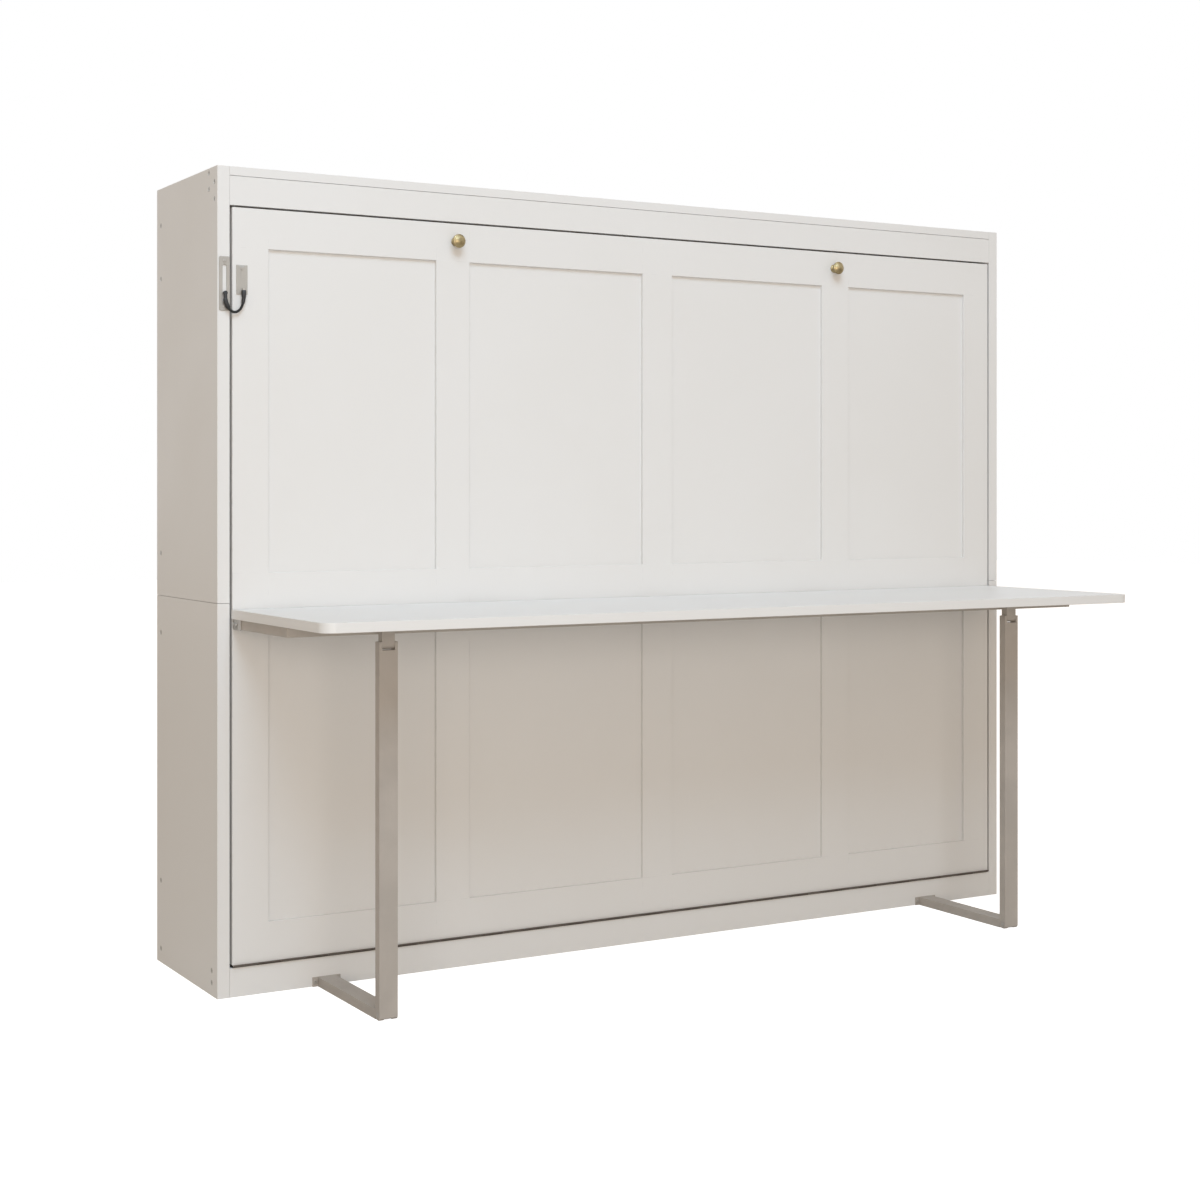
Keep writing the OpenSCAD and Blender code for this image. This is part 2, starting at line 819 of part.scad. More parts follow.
// Points of a rounded rectangle of half sizes [a, b] at height y, as a ring in X and Z
corner_steps = 6;
function rounded_ring(a, b, r, y, mid_z) = [
    for (corner = [0 : 3], k = [0 : corner_steps])
        let (angle = 90 * corner + 90 * k / corner_steps)
        let (cx = (corner == 0 || corner == 3) ? a - r : r - a)
        let (cz = corner < 2 ? b - r : r - b)
        [cx + r * cos(angle), y, mid_z + cz + r * sin(angle)]
];

// Mattress: edge tapes top and bottom, sides drawn in between them, and a crowned top panel.
// Each profile entry is [inset from the outline, share of the edge height, share of the crown].
mattress_profile = [
    [24, 0, 0], [5, 0.01, 0], [0, 0.035, 0], [1.5, 0.07, 0], [5, 0.12, 0], [7, 0.5, 0],
    [5, 0.88, 0], [1.5, 0.93, 0], [0, 0.965, 0], [5, 0.99, 0], [16, 1, 0.05],
    [60, 1, 0.45], [140, 1, 0.75], [280, 1, 0.95], [480, 1, 1]
];

module mattress() {
    a = mattress_x;
    b = (mattress_z1 - mattress_z0) / 2;
    mid_z = (mattress_z0 + mattress_z1) / 2;
    count = len(mattress_profile);
    n = 4 * (corner_steps + 1);
    heights = [for (p = mattress_profile) mattress_y0 + p[1] * mattress_t + p[2] * mattress_crown];
    rings = [
        for (i = [0 : count - 1])
            let (inset = mattress_profile[i][0])
            rounded_ring(a - inset, b - inset, mattress_corner_r, heights[i], mid_z)
    ];
    first = count * n;
    points = concat(
        [for (ring = rings) each ring],
        [[0, heights[0], mid_z], [0, heights[count - 1], mid_z]]
    );
    faces = concat(
        ring_faces(count, n),
        [for (k = [0 : n - 1]) [first, (k + 1) % n, k]],
        [for (k = [0 : n - 1]) [first + 1, first - n + k, first - n + (k + 1) % n]]
    );
    color("White") placed() polyhedron(points = points, faces = faces);
}

// Straps from the long rails over the mattress
module mattress_straps() {
    start = face_back + frame_d - 45;
    edge = face_back + frame_d;
    outer_y = mattress_y1 + soft_gap;
    inner_line = [
        [start, bed_frame_z0], [edge, bed_frame_z0], [outer_y, mattress_z0 - 2],
        [outer_y, mattress_z1 + 2], [edge, bed_frame_z1], [start, bed_frame_z1]
    ];
    outer_line = [
        [start, bed_frame_z1 + strap_t], [edge + 1, bed_frame_z1 + strap_t],
        [outer_y + strap_t, mattress_z1 + 4], [outer_y + strap_t, mattress_z0 - 4],
        [edge + 1, bed_frame_z0 - strap_t], [start, bed_frame_z0 - strap_t]
    ];
    color("SlateGray") placed()
        both_sides()
            translate([strap_x - strap_w / 2, 0, 0])
                rotate([90, 0, 90]) linear_extrude(strap_w) polygon(concat(inner_line, outer_line));
}

// ---------------------------------------------------------------- lift struts

// Round flange and stud, carried by the face at x = wall on the right, pointing to x = tip
module strut_stud(wall, tip, at) {
    direction = sign(tip - wall);
    root = wall + direction * flange_t;
    rod_x(flange_r, [min(wall, root), max(wall, root)], at[0], at[1]);
    rod_x(stud_r, [min(wall, tip), max(wall, tip)], at[0], at[1]);
}

module strut_brackets() {
    color(steel) placed()
        both_sides() strut_stud(inner_x, strut_x - eye_w / 2 - 1, strut_low);
}

module strut_studs() {
    color(steel) placed()
        both_sides() strut_stud(plate_x, strut_x + eye_w / 2 + 1, strut_high);
}

// Local frame of a strut, side 1 being the right: origin at the low stud, +Z to the high one
module along_strut(side) {
    placed()
        translate([side * strut_x, strut_low[0], strut_low[1]])
            rotate([strut_angle - 90, 0, 0]) children();
}

module strut_eye() {
    rod_x(eye_r, [-eye_w / 2, eye_w / 2], 0, 0);
}

module strut_eye_bore() {
    rod_x(stud_r + pin_fit, [-eye_w, eye_w], 0, 0);
}

module strut_cylinder(side) {
    color("Black")
        along_strut(side)
            difference() {
                union() {
                    strut_eye();
                    cylinder(r = 5, h = cylinder_start + 1);
                    translate([0, 0, cylinder_start]) cylinder(r = strut_r, h = cylinder_l);
                }
                strut_eye_bore();
                translate([0, 0, cylinder_start + 8])
                    cylinder(r = rod_r + loose_fit, h = cylinder_l);
            }
}

module strut_cylinder_left() {
    strut_cylinder(-1);
}

module strut_cylinder_right() {
    strut_cylinder(1);
}

module strut_rod(side) {
    color(steel)
        along_strut(side)
            translate([0, 0, strut_rest_l])
                difference() {
                    union() {
                        strut_eye();
                        translate([0, 0, -rod_l]) cylinder(r = rod_r, h = rod_l - eye_r / 2);
                    }
                    strut_eye_bore();
                }
}

module strut_rod_left() {
    strut_rod(-1);
}

module strut_rod_right() {
    strut_rod(1);
}

// ---------------------------------------------------------------- desk

// Board with round front corners, notched at the back for its hinges
module desk_top() {
    front = -desk_reach;
    rear_ease = 1.2;
    color(white) placed()
        difference() {
            translate([0, 0, board_z0])
                linear_extrude(desk_t) {
                    union() {
                        for (side = [-1, 1])
                            translate([side * (desk_x - desk_corner_r), front + desk_corner_r])
                                circle(desk_corner_r, $fn = 64);
                        translate([-desk_x + desk_corner_r, front])
                            square([2 * (desk_x - desk_corner_r), desk_corner_r]);
                        translate([-desk_x, front + desk_corner_r])
                            square([2 * desk_x, desk_reach - desk_corner_r - rear_clear]);
                    }
                }
            for (x = hinge_places)
                translate([x - hinge_l / 2 - notch_room, desk_leaf_y - leaf_t, board_z0 - cut])
                    cube([hinge_l + 2 * notch_room, 20, desk_t + 2 * cut]);
            translate([-desk_x - cut, -rear_clear, desk_h - rear_ease])
                rotate([45, 0, 0]) cube([2 * desk_x + 2 * cut, 5, 5]);
        }
}

module underframe_front() {
    color(frame_grey) placed()
        tube([-frame_x, frame_x], [front_rail_y, front_rail_y + tube_w], [frame_z0, board_z0]);
}

module underframe_rear() {
    color(frame_grey) placed()
        tube([-frame_x, frame_x], [rear_rail_y, rear_rail_y + tube_w], [frame_z0, board_z0]);
}

module underframe_ends() {
    color(frame_grey) placed()
        both_sides()
            tube([frame_x - tube_w, frame_x], [front_rail_y + tube_w, rear_rail_y], [frame_z0, board_z0]);
}

module underframe_cross() {
    color(frame_grey) placed()
        for (x = [-leg_x, 0, leg_x])
            tube([x - tube_w / 2, x + tube_w / 2], [front_rail_y + tube_w, rear_rail_y], [frame_z0, board_z0]);
}

// Angle plates and bolts at the rear ends of the underframe
module corner_brackets() {
    bolt_y = [-25, -12];
    middle = (frame_z0 + board_z0) / 2;
    color(steel) placed()
        both_sides() {
            box([frame_x, frame_x + 2], [rear_rail_y + 4, -4], [frame_z0 - 2, board_z0]);
            for (y = bolt_y)
                rod_x(3.5, [frame_x + 1.5, frame_x + 4.2], y, middle);
        }
}

// Welded tongues with their pins
module leg_tongues() {
    reach = tube_h / 2 - move_gap;
    half_t = tongue_w / 2;
    x = [leg_x - half_t, leg_x + half_t];
    color(steel) placed()
        both_sides() {
            difference() {
                union() {
                    rod_x(reach, x, leg_y, head_axis[1]);
                    box(x, [leg_y - reach, leg_y + reach], [head_axis[1], board_z0]);
                    box(x, [leg_y, front_rail_y], [frame_z0 + 1, board_z0]);
                }
                rod_x(leg_pin_r + pin_fit, [x[0] - cut, x[1] + cut], leg_y, head_axis[1]);
            }
            rod_x(leg_pin_r, [leg_x - tube_w / 2, leg_x + tube_w / 2], leg_y, head_axis[1]);
        }
}

// Rubber pads under the cross rails, on which the folded legs take the desk
module rest_pads() {
    low = head_axis[1] + tube_h / 2 + move_gap;
    color("DimGray") placed()
        both_sides()
            for (y = [front_rail_y + tube_w + 70, rear_rail_y - 60])
                box([leg_x - 12, leg_x + 12], [y, y + 40], [low, frame_z0]);
}

// ---------------------------------------------------------------- legs

ear_top = 5;
slot_drop = 11;
end_block = 24;

// Right leg: a tube with solid ends, a clevis on top and a slot for the foot's lug below
module leg() {
    left = leg_x - tube_w / 2;
    right = leg_x + tube_w / 2;
    front = leg_y - tube_h / 2;
    back = leg_y + tube_h / 2;
    top = head_axis[1] + ear_top;
    slot = tongue_w / 2 + loose_fit;
    lug_slot = lug_w / 2 + loose_fit;
    bevel = 4;
    difference() {
        box([left, right], [front, back], [0, top]);
        box([left + tube_wall, right - tube_wall], [front + tube_wall, back - tube_wall],
            [end_block, top - end_block - slot_drop]);
        box([leg_x - slot, leg_x + slot], [front - cut, back + cut], [head_axis[1] - slot_drop, top + cut]);
        box([leg_x - lug_slot, leg_x + lug_slot], [front + tube_wall, back + cut], [-cut, end_block]);
        rod_x(leg_pin_r + pin_fit, [left - cut, right + cut], leg_y, head_axis[1]);
        rod_x(leg_pin_r + loose_fit, [left - cut, right + cut], leg_y, foot_axis[1]);
        // The rear corner is round about the pin, so that it clears the foot bar
        difference() {
            box([left - cut, right + cut], [leg_y, back + cut], [-cut, foot_axis[1]]);
            rod_x(tube_h / 2, [left - 2 * cut, right + 2 * cut], leg_y, foot_axis[1]);
        }
        // The front corner is bevelled, so that it passes close to the floor
        translate([left - cut, front, bevel])
            rotate([45, 0, 0]) translate([0, -10, -20]) cube([tube_w + 2 * cut, 10, 40]);
    }
}

module leg_right() {
    color(frame_grey) placed() leg();
}

module leg_left() {
    mirror([1, 0, 0]) leg_right();
}

// ---------------------------------------------------------------- nodes

side_lower_left();
side_lower_right();
side_upper_left();
side_upper_right();
top_board();
fascia();
header_rail();
plinth();
base_rail();
back_rail_top();
back_rail_middle();
back_rail_bottom();
side_screws();
closing_stops();
foot_bar_left();
foot_bar_right();
foot_pins();
foot_screws();
strut_brackets();
bed_hinge_plinth_leaves();
bed_hinge_pins();
latch_track();
latch_track_screws();
face_panel();
face_rail_top();
face_rail_middle();
face_rail_bottom();
face_stiles();
end_plate_left();
end_plate_right();
long_rail_top();
long_rail_bottom();
slat_bearers();
slats();
mattress();
mattress_straps();
knobs();
latch_plate();
latch_cord();
latch_toggle();
strut_studs();
bed_hinge_face_leaves();
desk_hinge_face_leaves();
desk_top();
desk_hinge_desk_leaves();
desk_hinge_pins();
underframe_front();
underframe_rear();
underframe_ends();
underframe_cross();
corner_brackets();
leg_tongues();
rest_pads();
leg_left();
leg_right();
strut_cylinder_left();
strut_cylinder_right();
strut_rod_left();
strut_rod_right();
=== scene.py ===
"""Looks of the horizontal wall bed with its level desk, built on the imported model.

Everything is in metres in the model's own frame: X along the bed, +Y to the wall, +Z up.
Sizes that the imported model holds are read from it; the others are named in millimetres.
"""
import json
import math

import bmesh
import bpy
from mathutils import Matrix, Vector


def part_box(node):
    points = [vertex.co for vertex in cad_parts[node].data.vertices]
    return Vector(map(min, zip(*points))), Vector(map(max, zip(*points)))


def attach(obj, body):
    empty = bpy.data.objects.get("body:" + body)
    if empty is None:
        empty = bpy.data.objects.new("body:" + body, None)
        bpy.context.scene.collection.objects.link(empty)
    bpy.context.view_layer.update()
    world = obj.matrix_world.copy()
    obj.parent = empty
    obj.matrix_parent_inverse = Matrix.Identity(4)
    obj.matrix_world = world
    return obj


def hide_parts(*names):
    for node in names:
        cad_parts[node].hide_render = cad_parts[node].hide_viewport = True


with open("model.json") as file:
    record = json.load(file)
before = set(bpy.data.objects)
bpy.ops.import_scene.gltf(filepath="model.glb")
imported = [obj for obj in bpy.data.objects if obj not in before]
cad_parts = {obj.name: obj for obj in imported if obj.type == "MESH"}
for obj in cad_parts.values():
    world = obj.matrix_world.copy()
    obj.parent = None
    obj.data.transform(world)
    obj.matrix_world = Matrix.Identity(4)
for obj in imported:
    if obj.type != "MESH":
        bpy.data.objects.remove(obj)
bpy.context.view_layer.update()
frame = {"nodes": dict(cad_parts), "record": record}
BODY_OF = {
    node: body
    for body, nodes in frame["record"]["behaviour"]["bodies"].items()
    for node in nodes
}
MM = 0.001
FORWARD = Vector((0, -1, 0))

# ------------------------------------------------------------------ camera
# Level, turned to the right of the cabinet's normal, placed from its lower front left corner
CAMERA_LENS_MM = 59.04
CAMERA_SHIFT_Y = -0.0905
CAMERA_YAW_DEG = 30.29
CAMERA_FROM_CORNER = Vector((-1.3011, -3.7180, 0.9986))


def front_left_corner():
    return Vector(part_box("side_lower_left")[0])


def make_camera():
    data = bpy.data.cameras.new("photo_camera")
    data.sensor_width = 36.0
    data.lens = CAMERA_LENS_MM
    data.shift_y = CAMERA_SHIFT_Y
    data.clip_end = 100.0
    camera = bpy.data.objects.new("photo_camera", data)
    camera.location = front_left_corner() + CAMERA_FROM_CORNER
    camera.rotation_euler = (math.radians(90), 0.0, -math.radians(CAMERA_YAW_DEG))
    bpy.context.scene.collection.objects.link(camera)
    bpy.context.scene.camera = camera


# ------------------------------------------------------------------ node trees


class Wiring:
    """Adds nodes to a tree; an input given as a socket is linked, any other is set."""

    def __init__(self, tree):
        self.tree = tree

    def add(self, kind, inputs=None, **settings):
        node = self.tree.nodes.new(kind)
        for name, value in settings.items():
            setattr(node, name, value)
        for key, value in (inputs or {}).items():
            self.feed(node, key, value)
        return node

    def feed(self, node, key, value):
        if isinstance(value, bpy.types.NodeSocket):
            self.tree.links.new(value, node.inputs[key])
        else:
            node.inputs[key].default_value = value

    def math(self, operation, a, b=0.0):
        return self.add("ShaderNodeMath", {0: a, 1: b}, operation=operation).outputs[0]

    def span(self, value, low, high, to_low, to_high):
        inputs = {
            "Value": value, "From Min": low, "From Max": high, "To Min": to_low, "To Max": to_high,
        }
        return self.add("ShaderNodeMapRange", inputs).outputs["Result"]

    def blend(self, factor, low, high):
        """Mix of two colours."""
        node = self.add("ShaderNodeMix", data_type="RGBA")
        for key, value in ((0, factor), (6, low), (7, high)):
            self.feed(node, key, value)
        return node.outputs[2]


SOCKET_KINDS = {
    "number": "NodeSocketFloat",
    "count": "NodeSocketInt",
    "vector": "NodeSocketVector",
    "colour": "NodeSocketColor",
    "material": "NodeSocketMaterial",
    "mesh": "NodeSocketGeometry",
}


def new_group(name, tree_kind, inputs, outputs):
    """A node group with named inputs {label: (kind, value)} and outputs {label: kind}."""
    tree = bpy.data.node_groups.new(name, tree_kind)
    for label, (kind, value) in inputs.items():
        socket = tree.interface.new_socket(name=label, in_out="INPUT", socket_type=SOCKET_KINDS[kind])
        if value is not None:
            socket.default_value = value
    for label, kind in outputs.items():
        tree.interface.new_socket(name=label, in_out="OUTPUT", socket_type=SOCKET_KINDS[kind])
    given = tree.nodes.new("NodeGroupInput").outputs
    result = tree.nodes.new("NodeGroupOutput")
    return Wiring(tree), given, result


def cloudy_tint_group():
    """Two close colours that drift into each other, as in sprayed or plated coats."""
    wiring, given, result = new_group(
        "cloudy_tint", "ShaderNodeTree",
        {
            "Light": ("colour", (0.8, 0.8, 0.8, 1)), "Deep": ("colour", (0.7, 0.7, 0.7, 1)),
            "Scale": ("number", 3.0), "Low": ("number", 0.35), "High": ("number", 0.65),
        },
        {"Color": "colour", "Mask": "number"},
    )
    place = wiring.add("ShaderNodeTexCoord").outputs["Object"]
    cloud = wiring.add("ShaderNodeTexNoise", {
        "Vector": place, "Scale": given["Scale"], "Detail": 5.0, "Distortion": 0.5,
    })
    mask = wiring.span(cloud.outputs["Fac"], given["Low"], given["High"], 0.0, 1.0)
    wiring.feed(result, "Color", wiring.blend(mask, given["Deep"], given["Light"]))
    wiring.feed(result, "Mask", mask)
    return wiring.tree


def drawn_grain_group():
    """Noise drawn out along an axis: rolled steel, brushing or wood."""
    wiring, given, result = new_group(
        "drawn_grain", "ShaderNodeTree",
        {"Stretch": ("vector", (40, 40, 2)), "Detail": ("number", 5.0), "Warp": ("number", 0.5)},
        {"Mask": "number"},
    )
    place = wiring.add("ShaderNodeTexCoord").outputs["Object"]
    drawn = wiring.add("ShaderNodeMapping", {"Vector": place, "Scale": given["Stretch"]})
    grain = wiring.add("ShaderNodeTexNoise", {
        "Vector": drawn.outputs["Vector"], "Scale": 1.0,
        "Detail": given["Detail"], "Distortion": given["Warp"],
    })
    wiring.feed(result, "Mask", grain.outputs["Fac"])
    return wiring.tree


def two_scale_relief_group():
    """Bump of a coarse and a fine noise, each with its depth in metres."""
    wiring, given, result = new_group(
        "two_scale_relief", "ShaderNodeTree",
        {
            "Coarse Scale": ("number", 40.0), "Coarse Depth": ("number", 0.0002),
            "Fine Scale": ("number", 600.0), "Fine Depth": ("number", 0.00005),
        },
        {"Normal": "vector", "Mask": "number"},
    )
    place = wiring.add("ShaderNodeTexCoord").outputs["Object"]
    normal = None
    for label in ("Coarse", "Fine"):
        field = wiring.add("ShaderNodeTexNoise", {
            "Vector": place, "Scale": given[label + " Scale"], "Detail": 2.0,
        }).outputs["Fac"]
        bump = wiring.add("ShaderNodeBump", {
            "Height": field, "Distance": given[label + " Depth"], "Strength": 0.6,
        })
        if normal is not None:
            wiring.feed(bump, "Normal", normal)
        normal = bump.outputs["Normal"]
    wiring.feed(result, "Normal", normal)
    wiring.feed(result, "Mask", field)
    return wiring.tree


def weave_group():
    """Threads over and under each other, with slubs in them."""
    wiring, given, result = new_group(
        "plain_weave", "ShaderNodeTree",
        {"Threads": ("number", 900.0), "Slub": ("number", 0.5)},
        {"Height": "number", "Mask": "number"},
    )
    place = wiring.add("ShaderNodeTexCoord").outputs["Object"]
    axes = wiring.add("ShaderNodeSeparateXYZ", {"Vector": place})
    turn = wiring.math("MULTIPLY", given["Threads"], math.pi)
    waves = [wiring.math("SINE", wiring.math("MULTIPLY", axes.outputs[i], turn)) for i in range(3)]
    crossed = wiring.math("MULTIPLY", waves[0], waves[2])
    for first, second in ((0, 1), (1, 2)):
        crossed = wiring.math("ADD", crossed, wiring.math("MULTIPLY", waves[first], waves[second]))
    slub = wiring.add("ShaderNodeTexNoise", {"Vector": place, "Scale": 110.0, "Detail": 4.0})
    height = wiring.math("ADD", crossed, wiring.math("MULTIPLY", slub.outputs["Fac"], given["Slub"]))
    wiring.feed(result, "Height", height)
    wiring.feed(result, "Mask", wiring.span(height, -0.6, 1.0, 0.0, 1.0))
    return wiring.tree


GROUPS = {
    "tint": cloudy_tint_group(),
    "grain": drawn_grain_group(),
    "relief": two_scale_relief_group(),
    "weave": weave_group(),
}

# ------------------------------------------------------------------ finishes


class Finish:
    """One material: a Principled shader fed by the shared groups."""

    def __init__(self, name, **fixed):
        self.material = bpy.data.materials.new(name)
        self.material.use_nodes = True
        self.wiring = Wiring(self.material.node_tree)
        self.shader = self.material.node_tree.nodes["Principled BSDF"]
        for label, value in fixed.items():
            self.shader.inputs[label.replace("_", " ").title()].default_value = value

    def group(self, name, **inputs):
        node = self.wiring.add("ShaderNodeGroup", node_tree=GROUPS[name])
        for label, value in inputs.items():
            self.wiring.feed(node, label.replace("_", " ").title(), value)
        return node.outputs

    def wire(self, **outputs):
        for label, socket in outputs.items():
            self.wiring.feed(self.shader, label.replace("_", " ").title(), socket)
        return self


def shade(colour, share):
    return tuple(c * share for c in colour[:3]) + (1.0,)


def lacquered_board(name, light, deep):
    """Sprayed white lacquer: barely cloudy, with orange peel and a soft sheen."""
    finish = Finish(name, coat_weight=0.06, coat_roughness=0.25)
    tint = finish.group("tint", light=light, deep=deep, scale=1.8)
    peel = finish.group("relief", coarse_scale=30.0, coarse_depth=0.00003, fine_scale=420.0,
                        fine_depth=0.00002)
    sheen = finish.wiring.span(tint["Mask"], 0.0, 1.0, 0.44, 0.36)
    return finish.wire(base_color=tint["Color"], roughness=sheen, normal=peel["Normal"]).material


def rubbed_edge(name, colour):
    """The same lacquer where it is thin and rubbed, along a board's edges."""
    finish = Finish(name)
    rub = finish.group("tint", light=colour, deep=shade(colour, 0.9), scale=55.0, low=0.36, high=0.5)
    peel = finish.group("relief", coarse_scale=160.0, coarse_depth=0.00004, fine_scale=700.0,
                        fine_depth=0.00002)
    sheen = finish.wiring.span(rub["Mask"], 0.0, 1.0, 0.5, 0.32)
    return finish.wire(base_color=rub["Color"], roughness=sheen, normal=peel["Normal"]).material


def metal_coat(name, colour, roughness, metallic, stretch, depth=0.00004):
    """Painted, plated or bare metal with the fine lines of its rolling or polishing."""
    finish = Finish(name, metallic=metallic)
    wiring = finish.wiring
    lines = finish.group("grain", stretch=stretch, detail=3.0, warp=0.2)["Mask"]
    tint = finish.group("tint", light=colour, deep=shade(colour, 0.88), scale=11.0)
    lined = wiring.blend(wiring.span(lines, 0.35, 0.65, 0.0, 0.35), tint["Color"], shade(colour, 0.9))
    rough = wiring.span(lines, 0.3, 0.7, roughness - 0.06, roughness + 0.08)
    bump = wiring.add("ShaderNodeBump", {"Height": lines, "Distance": depth, "Strength": 0.4})
    return finish.wire(base_color=lined, roughness=rough, normal=bump.outputs["Normal"]).material


def handled_brass(name, colour):
    """Satin brass with brown patina in patches."""
    finish = Finish(name, metallic=1.0)
    patina = finish.group("tint", light=colour, deep=shade(colour, 0.6), scale=120.0, low=0.3, high=0.56)
    turned = finish.group("relief", coarse_scale=200.0, coarse_depth=0.00004, fine_scale=1500.0,
                          fine_depth=0.00001)
    rough = finish.wiring.span(patina["Mask"], 0.0, 1.0, 0.5, 0.36)
    return finish.wire(base_color=patina["Color"], roughness=rough, normal=turned["Normal"]).material


def moulded_black(name, colour, roughness):
    """Plastic or rubber with a grained skin and a grey bloom in patches."""
    finish = Finish(name)
    bloom = finish.group("tint", light=shade(colour, 1.7), deep=colour, scale=24.0, low=0.45, high=0.75)
    skin = finish.group("relief", coarse_scale=300.0, coarse_depth=0.00008, fine_scale=1600.0,
                        fine_depth=0.00003)
    rough = finish.wiring.span(skin["Mask"], 0.3, 0.7, roughness - 0.08, roughness + 0.08)
    return finish.wire(base_color=bloom["Color"], roughness=rough, normal=skin["Normal"]).material


def planed_pine(name, pale, dark, stretch):
    """Planed softwood: growth rings drawn along the board, fine pores and a dry surface."""
    finish = Finish(name)
    wiring = finish.wiring
    growth = finish.group("grain", stretch=stretch, detail=6.0, warp=1.4)["Mask"]
    pores = finish.group("grain", stretch=tuple(c * 9 for c in stretch), detail=2.0, warp=0.1)["Mask"]
    ringed = wiring.blend(wiring.span(growth, 0.36, 0.6, 0.0, 1.0), dark, pale)
    dotted = wiring.blend(wiring.span(pores, 0.55, 0.75, 0.0, 0.35), ringed, shade(dark, 0.7))
    height = wiring.math("SUBTRACT", growth, wiring.math("MULTIPLY", pores, 0.4))
    bump = wiring.add("ShaderNodeBump", {"Height": height, "Distance": 0.0002, "Strength": 0.5})
    rough = wiring.span(pores, 0.2, 0.8, 0.5, 0.72)
    return finish.wire(base_color=dotted, roughness=rough, normal=bump.outputs["Normal"]).material


def cloth(name, pale, dark, threads, depth, sheen):
    """Woven cloth with a soft sheen."""
    finish = Finish(name, roughness=0.85, sheen_weight=sheen, sheen_roughness=0.5)
    woven = finish.group("weave", threads=threads)
    tint = finish.group("tint", light=pale, deep=shade(pale, 0.94), scale=9.0)
    coloured = finish.wiring.blend(woven["Mask"], dark, tint["Color"])
    bump = finish.wiring.add("ShaderNodeBump", {
        "Height": woven["Height"], "Distance": depth, "Strength": 0.5,
    })
    return finish.wire(base_color=coloured, normal=bump.outputs["Normal"]).material


LACQUER = (0.80, 0.79, 0.776, 1)
LACQUER_WARM = (0.787, 0.775, 0.757, 1)
DESK_LACQUER = (0.805, 0.80, 0.785, 1)
# Darker lacquer for the sunk panels' walls: painted shade, standing in for the shadow in the recesses
SUNK_WALL_PAINTED_SHADE = (0.70, 0.69, 0.675, 1)
SUNK_WALL_PAINTED_SHADE_DEEP = (0.68, 0.665, 0.645, 1)
NICKEL = (0.475, 0.43, 0.385, 1)
ZINC = (0.52, 0.50, 0.47, 1)
PLATE_STEEL = (0.47, 0.44, 0.40, 1)
# Dark hinge paint: the real hinge at the plinth is made dark to stand in for the shadow line along the
# joint, partly painted shade
HINGE_DARK_AS_SHADOW = (0.12, 0.098, 0.08, 1)
BLACK = (0.022, 0.021, 0.021, 1)
PINE = (0.62, 0.46, 0.28, 1)
PINE_DARK = (0.46, 0.30, 0.15, 1)

MATERIALS = {
    "white_board": lacquered_board("white_lacquer", LACQUER, LACQUER_WARM),
    "desk_board": lacquered_board("desk_lacquer", DESK_LACQUER, LACQUER),
    "board_edge": rubbed_edge("rubbed_board_edge", LACQUER),
    # Lacquer darkened as painted shade for the walls of the sunk panels
    "painted_shade_on_sunk_walls": lacquered_board("lacquer_with_painted_shade_on_sunk_walls", SUNK_WALL_PAINTED_SHADE, SUNK_WALL_PAINTED_SHADE_DEEP),
    "white_steel": metal_coat("white_painted_steel", LACQUER, 0.42, 0.0, (300, 300, 300)),
    "frame_paint": metal_coat("nickel_paint_upright", NICKEL, 0.45, 0.08, (900, 900, 40)),
    "frame_paint_y": metal_coat("nickel_paint_depth", NICKEL, 0.45, 0.08, (900, 40, 900)),
    "frame_paint_x": metal_coat("nickel_paint_length", NICKEL, 0.45, 0.08, (40, 900, 900)),
    "zinc_steel": metal_coat("zinc_plated_steel", ZINC, 0.36, 0.6, (500, 500, 60)),
    "latch_steel": metal_coat("satin_latch_steel", PLATE_STEEL, 0.5, 0.6, (700, 700, 80)),
    # Hinge finish darkened so the hinge reads as the joint's shadow line: painted shade
    "bronze_steel": metal_coat("dark_hinge_with_painted_shadow_line", HINGE_DARK_AS_SHADOW, 0.45, 0.3, (60, 700, 700)),
    "black_steel": metal_coat("black_cylinder_paint", BLACK, 0.3, 0.2, (60, 60, 60)),
    "brass": handled_brass("satin_brass", (0.42, 0.33, 0.18, 1)),
    "rubber_black": moulded_black("black_rubber", (0.02, 0.02, 0.02, 1), 0.75),
    "black_plastic": moulded_black("black_plastic", (0.014, 0.014, 0.015, 1), 0.45),
    "raw_wood": planed_pine("pine_along_bed", PINE, PINE_DARK, (1.6, 38, 38)),
    "slat_wood": planed_pine("pine_across_bed", shade(PINE, 1.08), PINE_DARK, (38, 38, 1.6)),
    "ticking": cloth("mattress_ticking", (0.78, 0.76, 0.72, 1), (0.60, 0.58, 0.54, 1), 800.0, 0.0002, 0.3),
    "border": cloth("mattress_border", (0.70, 0.69, 0.67, 1), (0.50, 0.49, 0.47, 1), 700.0, 0.0003, 0.25),
    "tape": cloth("mattress_tape", (0.30, 0.295, 0.29, 1), (0.16, 0.16, 0.16, 1), 600.0, 0.0003, 0.2),
    "webbing": cloth("strap_webbing", (0.075, 0.08, 0.09, 1), (0.025, 0.026, 0.03, 1), 420.0, 0.0005, 0.15),
    "black_cord": cloth(
        "braided_cord", (0.025, 0.024, 0.023, 1), (0.006, 0.006, 0.006, 1), 900.0, 0.0004, 0.1,
    ),
}

# ------------------------------------------------------------------ making pieces


def new_piece(name, data, body, material, *nodes, slot=None):
    """A named object riding on a body, standing for the given nodes."""
    piece = bpy.data.objects.new(name, data)
    bpy.context.scene.collection.objects.link(piece)
    if not piece.data.materials:
        piece.data.materials.append(MATERIALS[material])
    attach(piece, body)
    if nodes:
        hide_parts(*nodes)
    return piece


